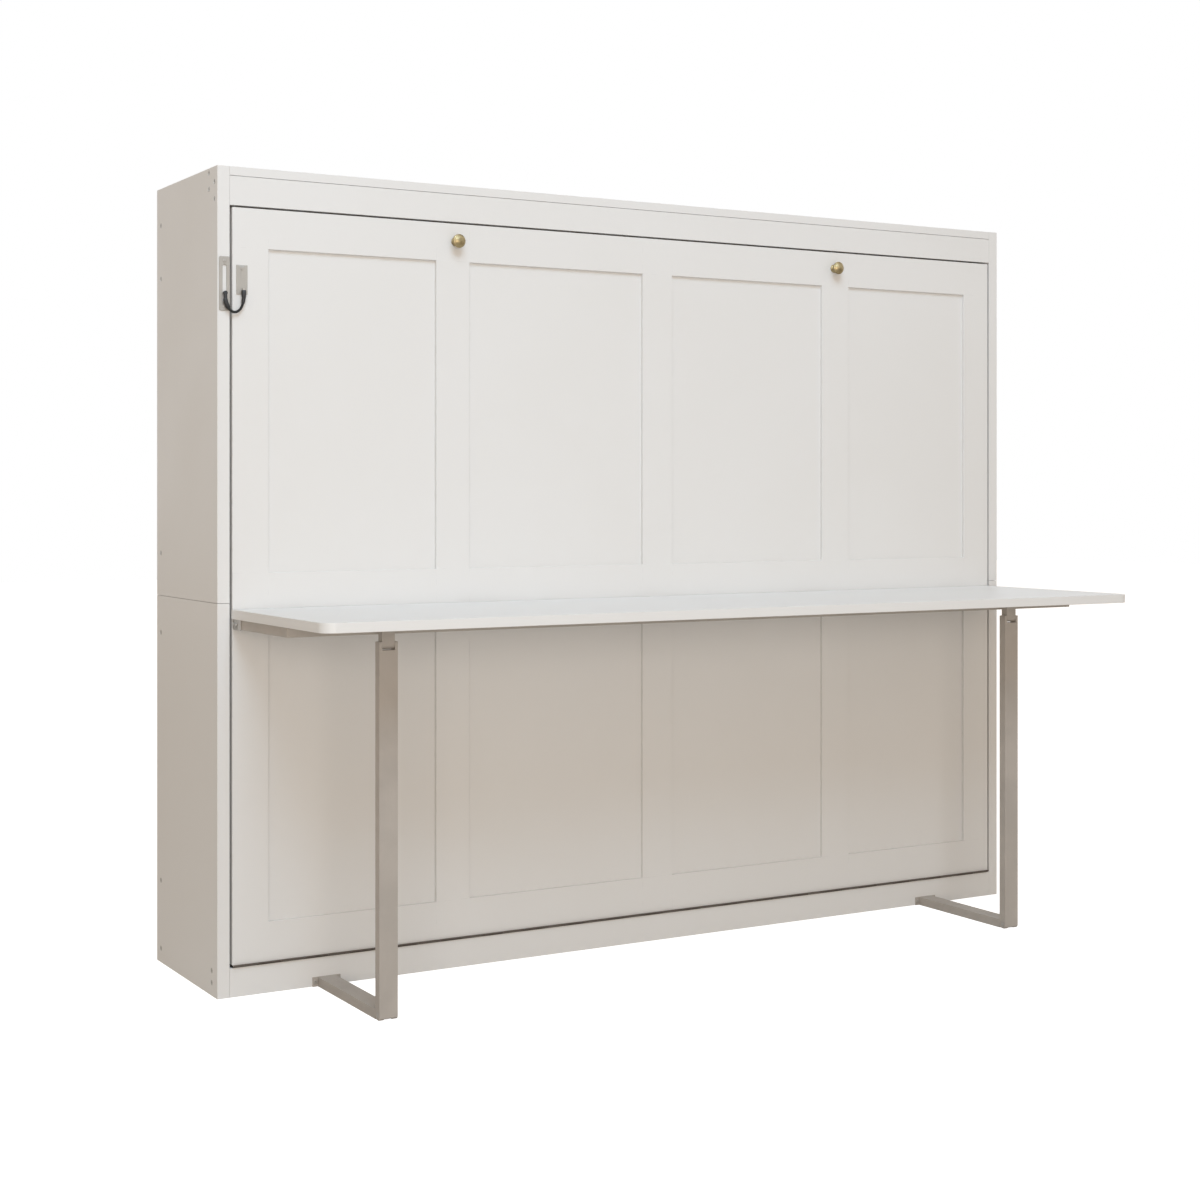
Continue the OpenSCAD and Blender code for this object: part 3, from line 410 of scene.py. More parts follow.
def finish_mesh(bm, name, sharp_deg=40):
    """Turns a bmesh into a mesh with its faces outwards, smooth but for its large plane faces."""
    bmesh.ops.recalc_face_normals(bm, faces=bm.faces)
    slight, sharp = math.radians(1), math.radians(sharp_deg)
    smooth = []
    for face in bm.faces:
        curved = any(edge.is_manifold and slight < edge.calc_face_angle() < sharp for edge in face.edges)
        smooth.append(curved or face.calc_area() < 400 * MM * MM)
    mesh = bpy.data.meshes.new(name)
    bm.to_mesh(mesh)
    bm.free()
    mesh.set_sharp_from_angle(angle=math.radians(sharp_deg))
    mesh.polygons.foreach_set("use_smooth", smooth)
    return mesh


def round_edges(piece, width_mm, segments=2, edge_material=None, by_weight=False):
    """Small radius on every sharp or weighted edge, where asked in the finish of a rubbed edge."""
    bevel = piece.modifiers.new("rounded_edges", "BEVEL")
    bevel.width = width_mm * MM
    bevel.segments = segments
    bevel.limit_method = "WEIGHT" if by_weight else "ANGLE"
    bevel.angle_limit = math.radians(40)
    if edge_material:
        piece.data.materials.append(MATERIALS[edge_material])
        bevel.material = len(piece.data.materials) - 1


def merged_copy(node):
    """The node's mesh as a bmesh, its triangles joined up into whole faces."""
    bm = bmesh.new()
    bm.from_mesh(frame["nodes"][node].data)
    bmesh.ops.remove_doubles(bm, verts=bm.verts, dist=0.002 * MM)
    bmesh.ops.dissolve_limit(bm, angle_limit=math.radians(0.5), verts=bm.verts, edges=bm.edges)
    return bm


def weigh_corners(bm):
    """Marks the outward corners for rounding; inward ones keep their clearance."""
    bmesh.ops.recalc_face_normals(bm, faces=bm.faces)
    weight = bm.edges.layers.float.new("bevel_weight_edge")
    for edge in bm.edges:
        if edge.is_manifold and edge.is_convex and edge.calc_face_angle() > math.radians(40):
            edge[weight] = 1.0
    return bm


def draw_in(bm, node, low_mm, high_mm):
    """Moves the faces on the low and high ends of a node's box inwards along each axis."""
    low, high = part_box(node)
    for vert in bm.verts:
        for i in range(3):
            if abs(vert.co[i] - low[i]) < 0.01 * MM:
                vert.co[i] += low_mm[i] * MM
            elif abs(vert.co[i] - high[i]) < 0.01 * MM:
                vert.co[i] -= high_mm[i] * MM
    return bm


def raise_level(bm, level_mm, lift_mm):
    """Raises every point that lies on one level."""
    for vert in bm.verts:
        if abs(vert.co.z - level_mm * MM) < 0.02 * MM:
            vert.co.z += lift_mm * MM
    return bm


def dress(node, material, width_mm, segments=2, edge_material=None, shape=None):
    """Stands for a node: its own shape, or the one given, with its outward edges rounded."""
    mesh = finish_mesh(weigh_corners(shape or merged_copy(node)), node + "_dressed")
    mesh.materials.append(MATERIALS[material])
    piece = new_piece(node + "_dressed", mesh, BODY_OF[node], material, node)
    round_edges(piece, width_mm, segments, edge_material, by_weight=True)
    return piece


def solids_of(node):
    """(low, high) corners of each separate solid of a node, from left to right."""
    bm = merged_copy(node)
    left = set(bm.verts)
    boxes = []
    while left:
        queue = [left.pop()]
        group = list(queue)
        while queue:
            for edge in queue.pop().link_edges:
                for vert in edge.verts:
                    if vert in left:
                        left.remove(vert)
                        queue.append(vert)
                        group.append(vert)
        low = Vector([min(v.co[i] for v in group) for i in range(3)])
        high = Vector([max(v.co[i] for v in group) for i in range(3)])
        boxes.append((low, high))
    bm.free()
    return sorted(boxes, key=lambda pair: (round(pair[0].x, 4), round(pair[0].z, 4)))


def add_block(bm, middle, size):
    """A small block, for its edges to be rounded on later."""
    bmesh.ops.create_cube(bm, matrix=Matrix.Translation(middle) @ Matrix.Diagonal((*size, 1)))


def run_nodes(tree, name, inputs, base=None):
    """Plain mesh that a Geometry Nodes tree makes from a base mesh and named inputs."""
    holder = bpy.data.objects.new(name + "_holder", base or bpy.data.meshes.new(name + "_base"))
    bpy.context.scene.collection.objects.link(holder)
    modifier = holder.modifiers.new("nodes", "NODES")
    modifier.node_group = tree
    sockets = {item.name: item.identifier for item in tree.interface.items_tree if item.in_out == "INPUT"}
    for label, value in inputs.items():
        modifier[sockets[label]] = value
    graph = bpy.context.evaluated_depsgraph_get()
    mesh = bpy.data.meshes.new_from_object(holder.evaluated_get(graph))
    mesh.name = name
    bpy.data.objects.remove(holder)
    return mesh


# ------------------------------------------------------------------ repeated pieces


def finish_tree(wiring, given, result, placed):
    """Ends a tree: the instances made real and given their material."""
    real = wiring.add("GeometryNodeRealizeInstances", {"Geometry": placed.outputs[0]})
    painted = wiring.add("GeometryNodeSetMaterial", {
        "Geometry": real.outputs[0], "Material": given["Finish"],
    })
    wiring.feed(result, "Geometry", painted.outputs[0])
    return wiring.tree


def screw_tree():
    """A domed screw head with a lobed recess on every point, facing the point's own way."""
    wiring, given, result = new_group(
        "screw_heads", "GeometryNodeTree",
        {
            "Geometry": ("mesh", None), "Head Radius": ("number", 0.004),
            "Head Height": ("number", 0.002), "Lobes": ("number", 6.0),
            "Lobe Depth": ("number", 0.12), "Drive Share": ("number", 0.55),
            "Finish": ("material", None),
        },
        {"Geometry": "mesh"},
    )
    radius, height = given["Head Radius"], given["Head Height"]
    base = wiring.add("GeometryNodeMeshCylinder", {
        "Vertices": 24, "Radius": radius, "Depth": wiring.math("MULTIPLY", height, 1.2),
    })

    def raised(mesh, top, rise, scale):
        """Extrudes the top face and scales it."""
        offset = wiring.add("ShaderNodeCombineXYZ", {"Z": rise}).outputs[0]
        node = wiring.add("GeometryNodeExtrudeMesh", {
            "Mesh": mesh, "Selection": top, "Offset": offset, "Individual": False,
        })
        shrunk = wiring.add("GeometryNodeScaleElements", {
            "Geometry": node.outputs["Mesh"], "Selection": node.outputs["Top"], "Scale": scale,
        })
        return shrunk.outputs[0], node.outputs["Top"]

    shape, top = base.outputs["Mesh"], base.outputs["Top"]
    shape, top = raised(shape, top, wiring.math("MULTIPLY", height, 0.3), 0.94)
    shape, top = raised(shape, top, wiring.math("MULTIPLY", height, 0.1), 0.82)
    shape, top = raised(shape, top, 0.0, given["Drive Share"])
    position = wiring.add("GeometryNodeInputPosition").outputs[0]
    axes = wiring.add("ShaderNodeSeparateXYZ", {"Vector": position}).outputs
    angle = wiring.math("ARCTAN2", axes["Y"], axes["X"])
    lobed_angle = wiring.math("MULTIPLY", angle, wiring.math("MULTIPLY", given["Lobes"], 0.5))
    ripple = wiring.math("ABSOLUTE", wiring.math("COSINE", lobed_angle))
    low_reach = wiring.math("SUBTRACT", 1.0, given["Lobe Depth"])
    reach = wiring.math("ADD", low_reach, wiring.math("MULTIPLY", ripple, given["Lobe Depth"]))
    lobed = wiring.add("ShaderNodeCombineXYZ", {
        "X": wiring.math("MULTIPLY", axes["X"], reach),
        "Y": wiring.math("MULTIPLY", axes["Y"], reach),
        "Z": axes["Z"],
    })
    shape = wiring.add("GeometryNodeSetPosition", {
        "Geometry": shape, "Selection": top, "Position": lobed.outputs[0],
    }).outputs[0]
    shape, top = raised(shape, top, wiring.math("MULTIPLY", radius, -0.45), 0.9)
    facing = wiring.add("GeometryNodeInputNamedAttribute", data_type="FLOAT_VECTOR")
    facing.inputs["Name"].default_value = "facing"
    turned = wiring.add("FunctionNodeAlignRotationToVector", {"Vector": facing.outputs[0]}, axis="Z")
    placed = wiring.add("GeometryNodeInstanceOnPoints", {
        "Points": given["Geometry"], "Instance": shape, "Rotation": turned.outputs[0],
    })
    return finish_tree(wiring, given, result, placed)


def row_tree():
    """Equal boards side by side."""
    wiring, given, result = new_group(
        "board_row", "GeometryNodeTree",
        {
            "Geometry": ("mesh", None), "Count": ("count", 13), "First": ("vector", (0, 0, 0)),
            "Pitch": ("vector", (0.1, 0, 0)), "Board Size": ("vector", (0.07, 0.018, 1.0)),
            "Finish": ("material", None),
        },
        {"Geometry": "mesh"},
    )
    board = wiring.add("GeometryNodeMeshCube", {"Size": given["Board Size"]})
    line = wiring.add("GeometryNodeMeshLine", {
        "Count": given["Count"], "Start Location": given["First"], "Offset": given["Pitch"],
    })
    placed = wiring.add("GeometryNodeInstanceOnPoints", {
        "Points": line.outputs[0], "Instance": board.outputs[0],
    })
    return finish_tree(wiring, given, result, placed)


SCREWS = screw_tree()
ROW = row_tree()
HEX_DRIVE = {"Lobes": 6.0, "Lobe Depth": 0.14, "Drive Share": 0.58}
CROSS_DRIVE = {"Lobes": 4.0, "Lobe Depth": 0.62, "Drive Share": 0.62}


def screw_heads(name, places, radius_mm, height_mm, drive, body, material, *nodes, slot=None):
    """One piece of all the screw heads at places [(point, outward direction), ...]."""
    base = bpy.data.meshes.new(name + "_places")
    base.from_pydata([tuple(point) for point, _ in places], [], [])
    facing = base.attributes.new("facing", "FLOAT_VECTOR", "POINT")
    for item, (_, outward) in zip(facing.data, places):
        item.vector = outward
    mesh = run_nodes(SCREWS, name, {
        "Head Radius": radius_mm * MM, "Head Height": height_mm * MM,
        "Finish": MATERIALS[material], **drive,
    }, base)
    return new_piece(name, mesh, body, material, *nodes, slot=slot)


# ------------------------------------------------------------------ cabinet


# How far each outer board stays back from its neighbours, in mm at its low and high ends
OPEN_JOINTS = {
    "side_lower_left": ((0, 0, 0), (0, 0, 0.4)),
    "side_lower_right": ((0, 0, 0), (0, 0, 0.4)),
    "side_upper_left": ((0, 0, 0.4), (0, 0, 0)),
    "side_upper_right": ((0, 0, 0.4), (0, 0, 0)),
    "top_board": ((0.4, 0, 0.5), (0.4, 0, 0)),
    "fascia": ((0.4, 0, 0), (0.4, 0, 0.4)),
    "plinth": ((0.5, 0, 0), (0.5, 0, 0)),
}


def cabinet_boards():
    for node, (low_mm, high_mm) in OPEN_JOINTS.items():
        drawn = draw_in(merged_copy(node), node, low_mm, high_mm)
        dress(node, "white_board", 0.45, 2, "board_edge", drawn)
    for node in ("header_rail", "base_rail", "back_rail_top", "back_rail_middle", "back_rail_bottom"):
        dress(node, "white_board", 0.5, 1, "board_edge")
    dress("closing_stops", "rubber_black", 2.0, 3)


def side_screws():
    """Screws with hexagon sockets, let into the side panels' outer faces."""
    head_mm = 1.2
    places = []
    for low, high in solids_of("side_screws"):
        right = high.x > 0
        middle = (low + high) / 2
        outward = Vector((1, 0, 0)) if right else Vector((-1, 0, 0))
        face = Vector((high.x if right else low.x, middle.y, middle.z))
        places.append((face - outward * (head_mm + 0.1) * MM, outward))
    screw_heads("side_screw_heads", places, 5.6, head_mm, HEX_DRIVE, "cabinet", "zinc_steel", "side_screws")


# ------------------------------------------------------------------ bed front


def bed_front():
    """The front board with its eight sunk panels, a darker lacquer on their walls as painted shade."""
    slope = 1.6 * MM
    drawn_in = 1.7 * MM
    rounding_mm = 1.2
    slight = 0.3
    low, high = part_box("face_panel")
    low.x += drawn_in
    high.x -= drawn_in
    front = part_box("face_rail_top")[0].y
    sunk = low.y
    stiles = solids_of("face_stiles")
    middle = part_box("face_rail_middle")
    xs = [low.x]
    for left, right in zip(stiles, stiles[1:]):
        xs += [left[1].x, right[0].x]
    xs.append(high.x)
    lower_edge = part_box("face_rail_bottom")[1].z
    upper_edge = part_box("face_rail_top")[0].z
    zs = [low.z, lower_edge, middle[0].z, middle[1].z, upper_edge, high.z]
    bm = bmesh.new()
    grid = [[bm.verts.new((x, front, z)) for x in xs] for z in zs]
    for row in range(len(zs) - 1):
        for col in range(len(xs) - 1):
            corners = [grid[row][col], grid[row][col + 1], grid[row + 1][col + 1], grid[row + 1][col]]
            if row % 2 == 0 or col % 2 == 0:
                bm.faces.new(corners)
                continue
            right, top = corners[2].co.x, corners[2].co.z
            floor = []
            for corner in corners:
                x = corner.co.x - (slope if corner.co.x == right else 0)
                z = corner.co.z - (slope if corner.co.z == top else 0)
                floor.append(bm.verts.new((x, sunk, z)))
            bm.faces.new(floor)
            for i in range(4):
                j = (i + 1) % 4
                # The walls take the second material, the darker lacquer that paints the shade in the
                # recesses
                bm.faces.new((corners[i], corners[j], floor[j], floor[i])).material_index = 1
    outline = grid[0] + [row[-1] for row in grid[1:]]
    outline += list(reversed(grid[-1][:-1])) + [row[0] for row in reversed(grid[1:-1])]
    back = [bm.verts.new((v.co.x, high.y, v.co.z)) for v in outline]
    for i in range(len(outline)):
        j = (i + 1) % len(outline)
        bm.faces.new((outline[i], outline[j], back[j], back[i]))
    bm.faces.new(back)
    weight = bm.edges.layers.float.new("bevel_weight_edge")
    for edge in bm.edges:
        first, second = (v.co for v in edge.verts)
        on_left = abs(first.x - low.x) + abs(second.x - low.x) < 0.01 * MM
        edge[weight] = 1.0 if on_left else slight
    piece = new_piece(
        "bed_front", finish_mesh(bm, "bed_front"), "bed", "white_board",
        "face_panel", "face_rail_top", "face_rail_middle", "face_rail_bottom", "face_stiles",
    )
    # Second material: darker lacquer as painted shade on the recess walls
    piece.data.materials.append(MATERIALS["painted_shade_on_sunk_walls"])
    round_edges(piece, rounding_mm, 3, "board_edge", by_weight=True)


def lathe(profile, segments=56):
    """bmesh of a profile [(radius, height), ...] turned about Z, ends on the axis."""
    bm = bmesh.new()
    turn = [2 * math.pi * i / segments for i in range(segments)]
    rings = []
    for radius, height in profile:
        if radius < 1e-7:
            rings.append([bm.verts.new((0, 0, height))])
        else:
            rings.append([bm.verts.new((radius * math.cos(a), radius * math.sin(a), height)) for a in turn])
    for lower, upper in zip(rings, rings[1:]):
        for i in range(segments):
            j = (i + 1) % segments
            if len(lower) == 1:
                bm.faces.new((lower[0], upper[j], upper[i]))
            elif len(upper) == 1:
                bm.faces.new((lower[i], lower[j], upper[0]))
            else:
                bm.faces.new((lower[i], lower[j], upper[j], upper[i]))
    return bm


def smooth_profile(points, steps=4):
    """Catmull-Rom curve through profile points."""
    curve = []
    for i in range(len(points) - 1):
        near = [points[max(i - 1, 0)], points[i], points[i + 1], points[min(i + 2, len(points) - 1)]]
        for k in range(steps):
            t = k / steps
            weights = (
                -t + 2 * t * t - t ** 3, 2 - 5 * t * t + 3 * t ** 3,
                t + 4 * t * t - 3 * t ** 3, -t * t + t ** 3,
            )
            radius, height = (sum(w * q[c] for w, q in zip(weights, near)) / 2 for c in (0, 1))
            curve.append((max(radius, 0.0), height))
    curve.append(points[-1])
    return curve


# Half outline of a knob as shares of its head radius and its length
KNOB_SHAPE = [
    (0.0, 0.0), (0.60, 0.0), (0.62, 0.05), (0.52, 0.11), (0.43, 0.18), (0.40, 0.32), (0.44, 0.44),
    (0.62, 0.53), (0.88, 0.6), (0.985, 0.66), (1.0, 0.72), (0.97, 0.78), (0.86, 0.83), (0.8, 0.835),
    (0.7, 0.88), (0.45, 0.95), (0.2, 0.99), (0.0, 1.0),
]


def brass_knobs():
    """Mushroom knobs turned from brass: foot, waisted neck and domed head."""
    bm = bmesh.new()
    for low, high in solids_of("knobs"):
        length = high.y - low.y
        radius = (high.z - low.z) / 2
        one = lathe(smooth_profile([(r * radius, h * length) for r, h in KNOB_SHAPE]))
        place = Matrix.Translation(((low.x + high.x) / 2, high.y, (low.z + high.z) / 2))
        turned = place @ Matrix.Rotation(math.radians(90), 4, "X")
        bmesh.ops.transform(one, matrix=turned, verts=one.verts)
        part = bpy.data.meshes.new("knob_part")
        one.to_mesh(part)
        one.free()
        bm.from_mesh(part)
        bpy.data.meshes.remove(part)
    new_piece("brass_knobs", finish_mesh(bm, "brass_knobs", 60), "bed", "brass", "knobs")


# ------------------------------------------------------------------ latch

# The cord's route: x from the cabinet's left face, y from its front, z from the middle of
# the slotted plate, in millimetres
CORD_POINTS = [
    (14, -7, -30), (14, -7, -33), (15.2, -7, -37.5), (17, -7, -42), (19.2, -7, -46.5),
    (22.5, -7, -51), (26.5, -7, -54.5), (31, -7, -56), (36, -7, -55.7), (41, -7, -53.2),
    (45, -7, -49.2), (48, -7, -44), (50, -7, -38), (51.3, -7, -31.5), (52, -7, -26), (52, -7, -21),
]
CORD_R_MM = 2.6
# Shrunk tubes over the cord's ends: (distance along the cord, radius) in mm
TOGGLE_TUBE = [(-1.0, 3.4), (0.5, 4.2), (3.0, 4.6), (9.0, 4.7), (15.0, 4.5), (19.5, 4.0), (21.0, 2.9)]
PLATE_TUBE = [
    (-9.0, 4.0), (-8.0, 4.7), (0.0, 4.7), (4.0, 4.5), (6.0, 3.9), (13.0, 3.7), (17.0, 3.3), (18.0, 2.8),
]


def cord_places():
    corner = front_left_corner()
    low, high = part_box("latch_track")
    middle = (low.z + high.z) / 2
    return [Vector((corner.x + x * MM, corner.y + y * MM, middle + z * MM)) for x, y, z in CORD_POINTS]


def along(line, distance):
    """The point at a distance along a line, which goes on straight past its start."""
    if distance <= 0:
        return line[0] + (line[1] - line[0]).normalized() * distance
    for start, end in zip(line, line[1:]):
        step = (end - start).length
        if distance <= step:
            return start.lerp(end, distance / step)
        distance -= step
    return line[-1].copy()


def tube_along(points, radii, name, sides=16):
    """Closed tube through points that lie in a plane of constant y."""
    bm = bmesh.new()
    turn = [2 * math.pi * k / sides for k in range(sides)]
    rings = []
    for i, (point, radius) in enumerate(zip(points, radii)):
        ahead = points[min(i + 1, len(points) - 1)] - points[max(i - 1, 0)]
        across = ahead.cross(FORWARD).normalized()
        rings.append([
            bm.verts.new(point + (across * math.cos(a) + FORWARD * math.sin(a)) * radius) for a in turn
        ])
    for lower, upper in zip(rings, rings[1:]):
        for k in range(sides):
            bm.faces.new((lower[k], lower[(k + 1) % sides], upper[(k + 1) % sides], upper[k]))
    bm.faces.new(rings[0])
    bm.faces.new(rings[-1])
    return finish_mesh(bm, name, 60)


def latch_cord():
    """Short braided cord between the toggle in the track and the plate on the bed front."""
    points = cord_places()
    curve = bpy.data.curves.new("latch_cord_line", "CURVE")
    curve.dimensions = "3D"
    curve.bevel_depth = CORD_R_MM * MM
    curve.bevel_resolution = 4
    curve.use_fill_caps = True
    spline = curve.splines.new("POLY")
    spline.points.add(len(points) - 1)
    for target, point in zip(spline.points, points):
        target.co = (*point, 1.0)
    cord = new_piece("latch_cord_line", curve, "bed", "black_cord", "latch_cord")

    for name, line, outline in (
        ("cord_toggle_tube", points, TOGGLE_TUBE), ("cord_plate_tube", points[::-1], PLATE_TUBE),
    ):
        places = [along(line, distance * MM) for distance, _ in outline]
        tube = tube_along(places, [radius * MM for _, radius in outline], name)
        new_piece(name, tube, "bed", "black_plastic", slot="black_plastic")
    toggle = dress("latch_toggle", "black_plastic", 0.6, 2)


def rounded_ring(bm, low, high, radius, y, steps=6):
    """Vertices round a rectangle in the plane of a given y, its corners turned to arcs."""
    ring = []
    corners = (
        (high.x - radius, high.z - radius), (low.x + radius, high.z - radius),
        (low.x + radius, low.z + radius), (high.x - radius, low.z + radius),
    )
    for quarter, (x, z) in enumerate(corners):
        for k in range(steps + 1):
            a = math.pi / 2 * (quarter + k / steps)
            ring.append(bm.verts.new((x + radius * math.cos(a), y, z + radius * math.sin(a))))
    return ring


def slotted_plate():
    """The latch's track: a plate with small round corners and a long slot."""
    low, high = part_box("latch_track")
    slot_half = Vector((4, 0, 37)) * MM
    corner_r = 3.5 * MM
    slot_r = 4 * MM
    centre = (low + high) / 2
    bm = bmesh.new()
    rings = [
        rounded_ring(bm, low, high, corner_r, low.y),
        rounded_ring(bm, centre - slot_half, centre + slot_half, slot_r, low.y),
        rounded_ring(bm, centre - slot_half, centre + slot_half, slot_r, high.y),
        rounded_ring(bm, low, high, corner_r, high.y),
    ]
    count = len(rings[0])
    for i in range(4):
        ring, following = rings[i], rings[(i + 1) % 4]
        for k in range(count):
            n = (k + 1) % count
            bm.faces.new((ring[k], ring[n], following[n], following[k]))
    return bm


def latch_hardware():
    dress("latch_track", "latch_steel", 0.5, 2, shape=slotted_plate())
    dress("latch_plate", "latch_steel", 0.4, 2)
    places = []
    for low, high in solids_of("latch_track_screws"):
        centre = (low + high) / 2
        places.append((Vector((centre.x, low.y + 1.2 * MM, centre.z)), FORWARD))
    screw_heads("latch_screw_heads", places, 3.0, 1.15, CROSS_DRIVE, "cabinet", "zinc_steel",
                "latch_track_screws")


# ------------------------------------------------------------------ bed frame


def bed_frame():
    for node in ("end_plate_left", "end_plate_right"):
        dress(node, "zinc_steel", 0.6, 2)
    for node in ("long_rail_top", "long_rail_bottom", "slat_bearers"):
        dress(node, "raw_wood", 2.0, 2)
    dress("strut_studs", "zinc_steel", 0.5, 2)


def slat_row():
    """Rounded pine slats in one row."""
    boards = solids_of("slats")
    first, second = ((low + high) / 2 for low, high in boards[:2])
    mesh = run_nodes(ROW, "slat_row", {
        "Count": len(boards), "First": first, "Pitch": second - first,
        "Board Size": boards[0][1] - boards[0][0], "Finish": MATERIALS["slat_wood"],
    })
    piece = new_piece("slat_row", mesh, "bed", "slat_wood", "slats")
    round_edges(piece, 3.0, 3)


# ------------------------------------------------------------------ mattress

QUILT_PITCH = 170 * MM
QUILT_DEPTH = 5 * MM
MATTRESS_CORNER = 70 * MM
GRID_STEPS = (150, 108)
# Border outline from the bottom seam up: (inset in mm, share of the height)
TAPE_PROFILE = [(5.0, 0.0), (1.6, 0.004), (0.2, 0.014), (0.0, 0.024), (0.4, 0.034), (2.2, 0.043)]
BORDER_PROFILE = [(3.2, 0.05), (5.2, 0.12), (6.6, 0.22), (8.4, 0.25), (6.6, 0.28), (7.6, 0.5)]


def quilted(x, z, edge):
    """Height of a sewn panel: puffed diamonds between sunk seams, flat at the edge."""
    off = min(abs((d / QUILT_PITCH + 0.5) % 1.0 - 0.5) * QUILT_PITCH for d in (x + z, x - z))
    seam = math.exp(-((off / (8 * MM)) ** 2))
    puff = math.sin(min(off / (QUILT_PITCH * 0.25), 1.0) * math.pi / 2)
    fade = max(0.0, min(1.0, edge / (45 * MM)))
    return QUILT_DEPTH * fade * (0.35 * puff - 0.65 * seam)


def round_corner(x, z, half_x, half_z):
    """Moves a point of a rectangle so that its corners become arcs."""
    core_x, core_z = half_x - MATTRESS_CORNER, half_z - MATTRESS_CORNER
    p = (abs(x) - core_x) / MATTRESS_CORNER
    q = (abs(z) - core_z) / MATTRESS_CORNER
    if p <= 0 or q <= 0:
        return x, z
    new_p = p * math.sqrt(1 - q * q / 2)
    new_q = q * math.sqrt(1 - p * p / 2)
    return (
        math.copysign(core_x + new_p * MATTRESS_CORNER, x),
        math.copysign(core_z + new_q * MATTRESS_CORNER, z),
    )


def mattress():
    """Quilted mattress: taped edges, a border drawn in between them and puffed panels."""
    low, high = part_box("mattress")
    centre = (low + high) / 2
    half_x, half_z = (high.x - low.x) / 2, (high.z - low.z) / 2
    crown = 6 * MM
    thick = high.y - low.y - crown
    seam = TAPE_PROFILE[0][0] * MM
    nx, nz = GRID_STEPS
    bm = bmesh.new()

    def panel(level, side):
        """Grid of one sewn panel and its rim; side 1 faces the wall and is crowned."""
        rows = []
        for j in range(nz + 1):
            row = []
            for i in range(nx + 1):
                x, z = round_corner((2 * i / nx - 1) * half_x, (2 * j / nz - 1) * half_z, half_x, half_z)
                x *= (half_x - seam) / half_x
                z *= (half_z - seam) / half_z
                edge = min(half_x - seam - abs(x), half_z - seam - abs(z))
                puff = quilted(x, z, edge)
                crowned = math.sin(max(0.0, min(edge / 0.25, 1.0)) * math.pi / 2) * crown * 0.7
                lift = crowned + puff if side > 0 else QUILT_DEPTH * 0.2 - 0.4 * puff
                row.append(bm.verts.new((centre.x + x, level + lift, centre.z + z)))
            rows.append(row)
        for j in range(nz):
            for i in range(nx):
                bm.faces.new((rows[j][i], rows[j][i + 1], rows[j + 1][i + 1], rows[j + 1][i]))
        rim = rows[0] + [row[-1] for row in rows[1:]]
        return rim + list(reversed(rows[-1][:-1])) + [row[0] for row in reversed(rows[1:-1])]

    lower = panel(low.y, -1)
    upper = panel(low.y + thick, 1)
    panel_faces = len(bm.faces)
    half = TAPE_PROFILE + BORDER_PROFILE
    profile = half[1:] + [(inset, 1.0 - share) for inset, share in reversed(half[1:-1])]
    rim = [(v.co.x - centre.x, v.co.z - centre.z) for v in lower]
    rings = [lower]
    for inset, share in profile:
        wide = (half_x - inset * MM) / (half_x - seam)
        tall = (half_z - inset * MM) / (half_z - seam)
        level = low.y + share * thick
        rings.append([bm.verts.new((centre.x + x * wide, level, centre.z + z * tall)) for x, z in rim])
    rings.append(upper)
    count = len(lower)
    for below, above in zip(rings, rings[1:]):
        for i in range(count):
            j = (i + 1) % count
            bm.faces.new((below[i], below[j], above[j], above[i]))
    mesh = finish_mesh(bm, "quilted_mattress", 70)
    for material in ("ticking", "border", "tape"):
        mesh.materials.append(MATERIALS[material])
    bands = len(rings) - 1
    for face in mesh.polygons[panel_faces:]:
        band = (face.index - panel_faces) // count
        near_seam = min(band, bands - 1 - band)
        face.material_index = 2 if near_seam < len(TAPE_PROFILE) - 1 else 1
    piece = new_piece("quilted_mattress", mesh, "bed", "ticking", "mattress")


def mattress_straps():
    """Webbing straps over the mattress, each with a ladder buckle."""
    dress("mattress_straps", "webbing", 0.4, 1)
    bar_mm = 4.5
    half_w, half_h = 27 * MM, 16 * MM
    bm = bmesh.new()
    for low, high in solids_of("mattress_straps"):
        centre = Vector(((low.x + high.x) / 2, high.y - 0.2 * MM, (low.z + high.z) / 2))
        for share in (-1, -0.3, 0.4, 1):
            middle = centre + Vector((0, 0, share * half_h))
            add_block(bm, middle, (2 * half_w, 3 * MM, bar_mm * MM))
        for side in (-1, 1):
            middle = centre + Vector((side * half_w, 0, 0))
            add_block(bm, middle, (bar_mm * MM, 3 * MM, 2 * half_h + bar_mm * MM))
    buckles = finish_mesh(bm, "strap_buckles")
    piece = new_piece("strap_buckles", buckles, "bed", "black_plastic", slot="black_plastic")
    round_edges(piece, 1.0, 3)


# ------------------------------------------------------------------ hinges and struts


def slim_knuckles(node):
    """The bed's hinge with its rolled knuckles drawn in towards the pin."""
    share = 0.5
    rolled_mm = (1.6, 3.26)
    root_y_mm, root_z_mm = 1.2, 2.6
    low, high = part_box("bed_hinge_pins")
    axis = (low + high) / 2
    bm = merged_copy(node)
    for vert in bm.verts:
        away = Vector((0, vert.co.y - axis.y, vert.co.z - axis.z))
        distance = away.length / MM
        if rolled_mm[0] < distance < rolled_mm[1]:
            vert.co -= away * (1 - share)
        elif away.y < 0.6 * MM and distance > rolled_mm[1]:
            vert.co.y = axis.y + root_y_mm * MM
            vert.co.z = axis.z + math.copysign(root_z_mm * MM, away.z)
    return bm


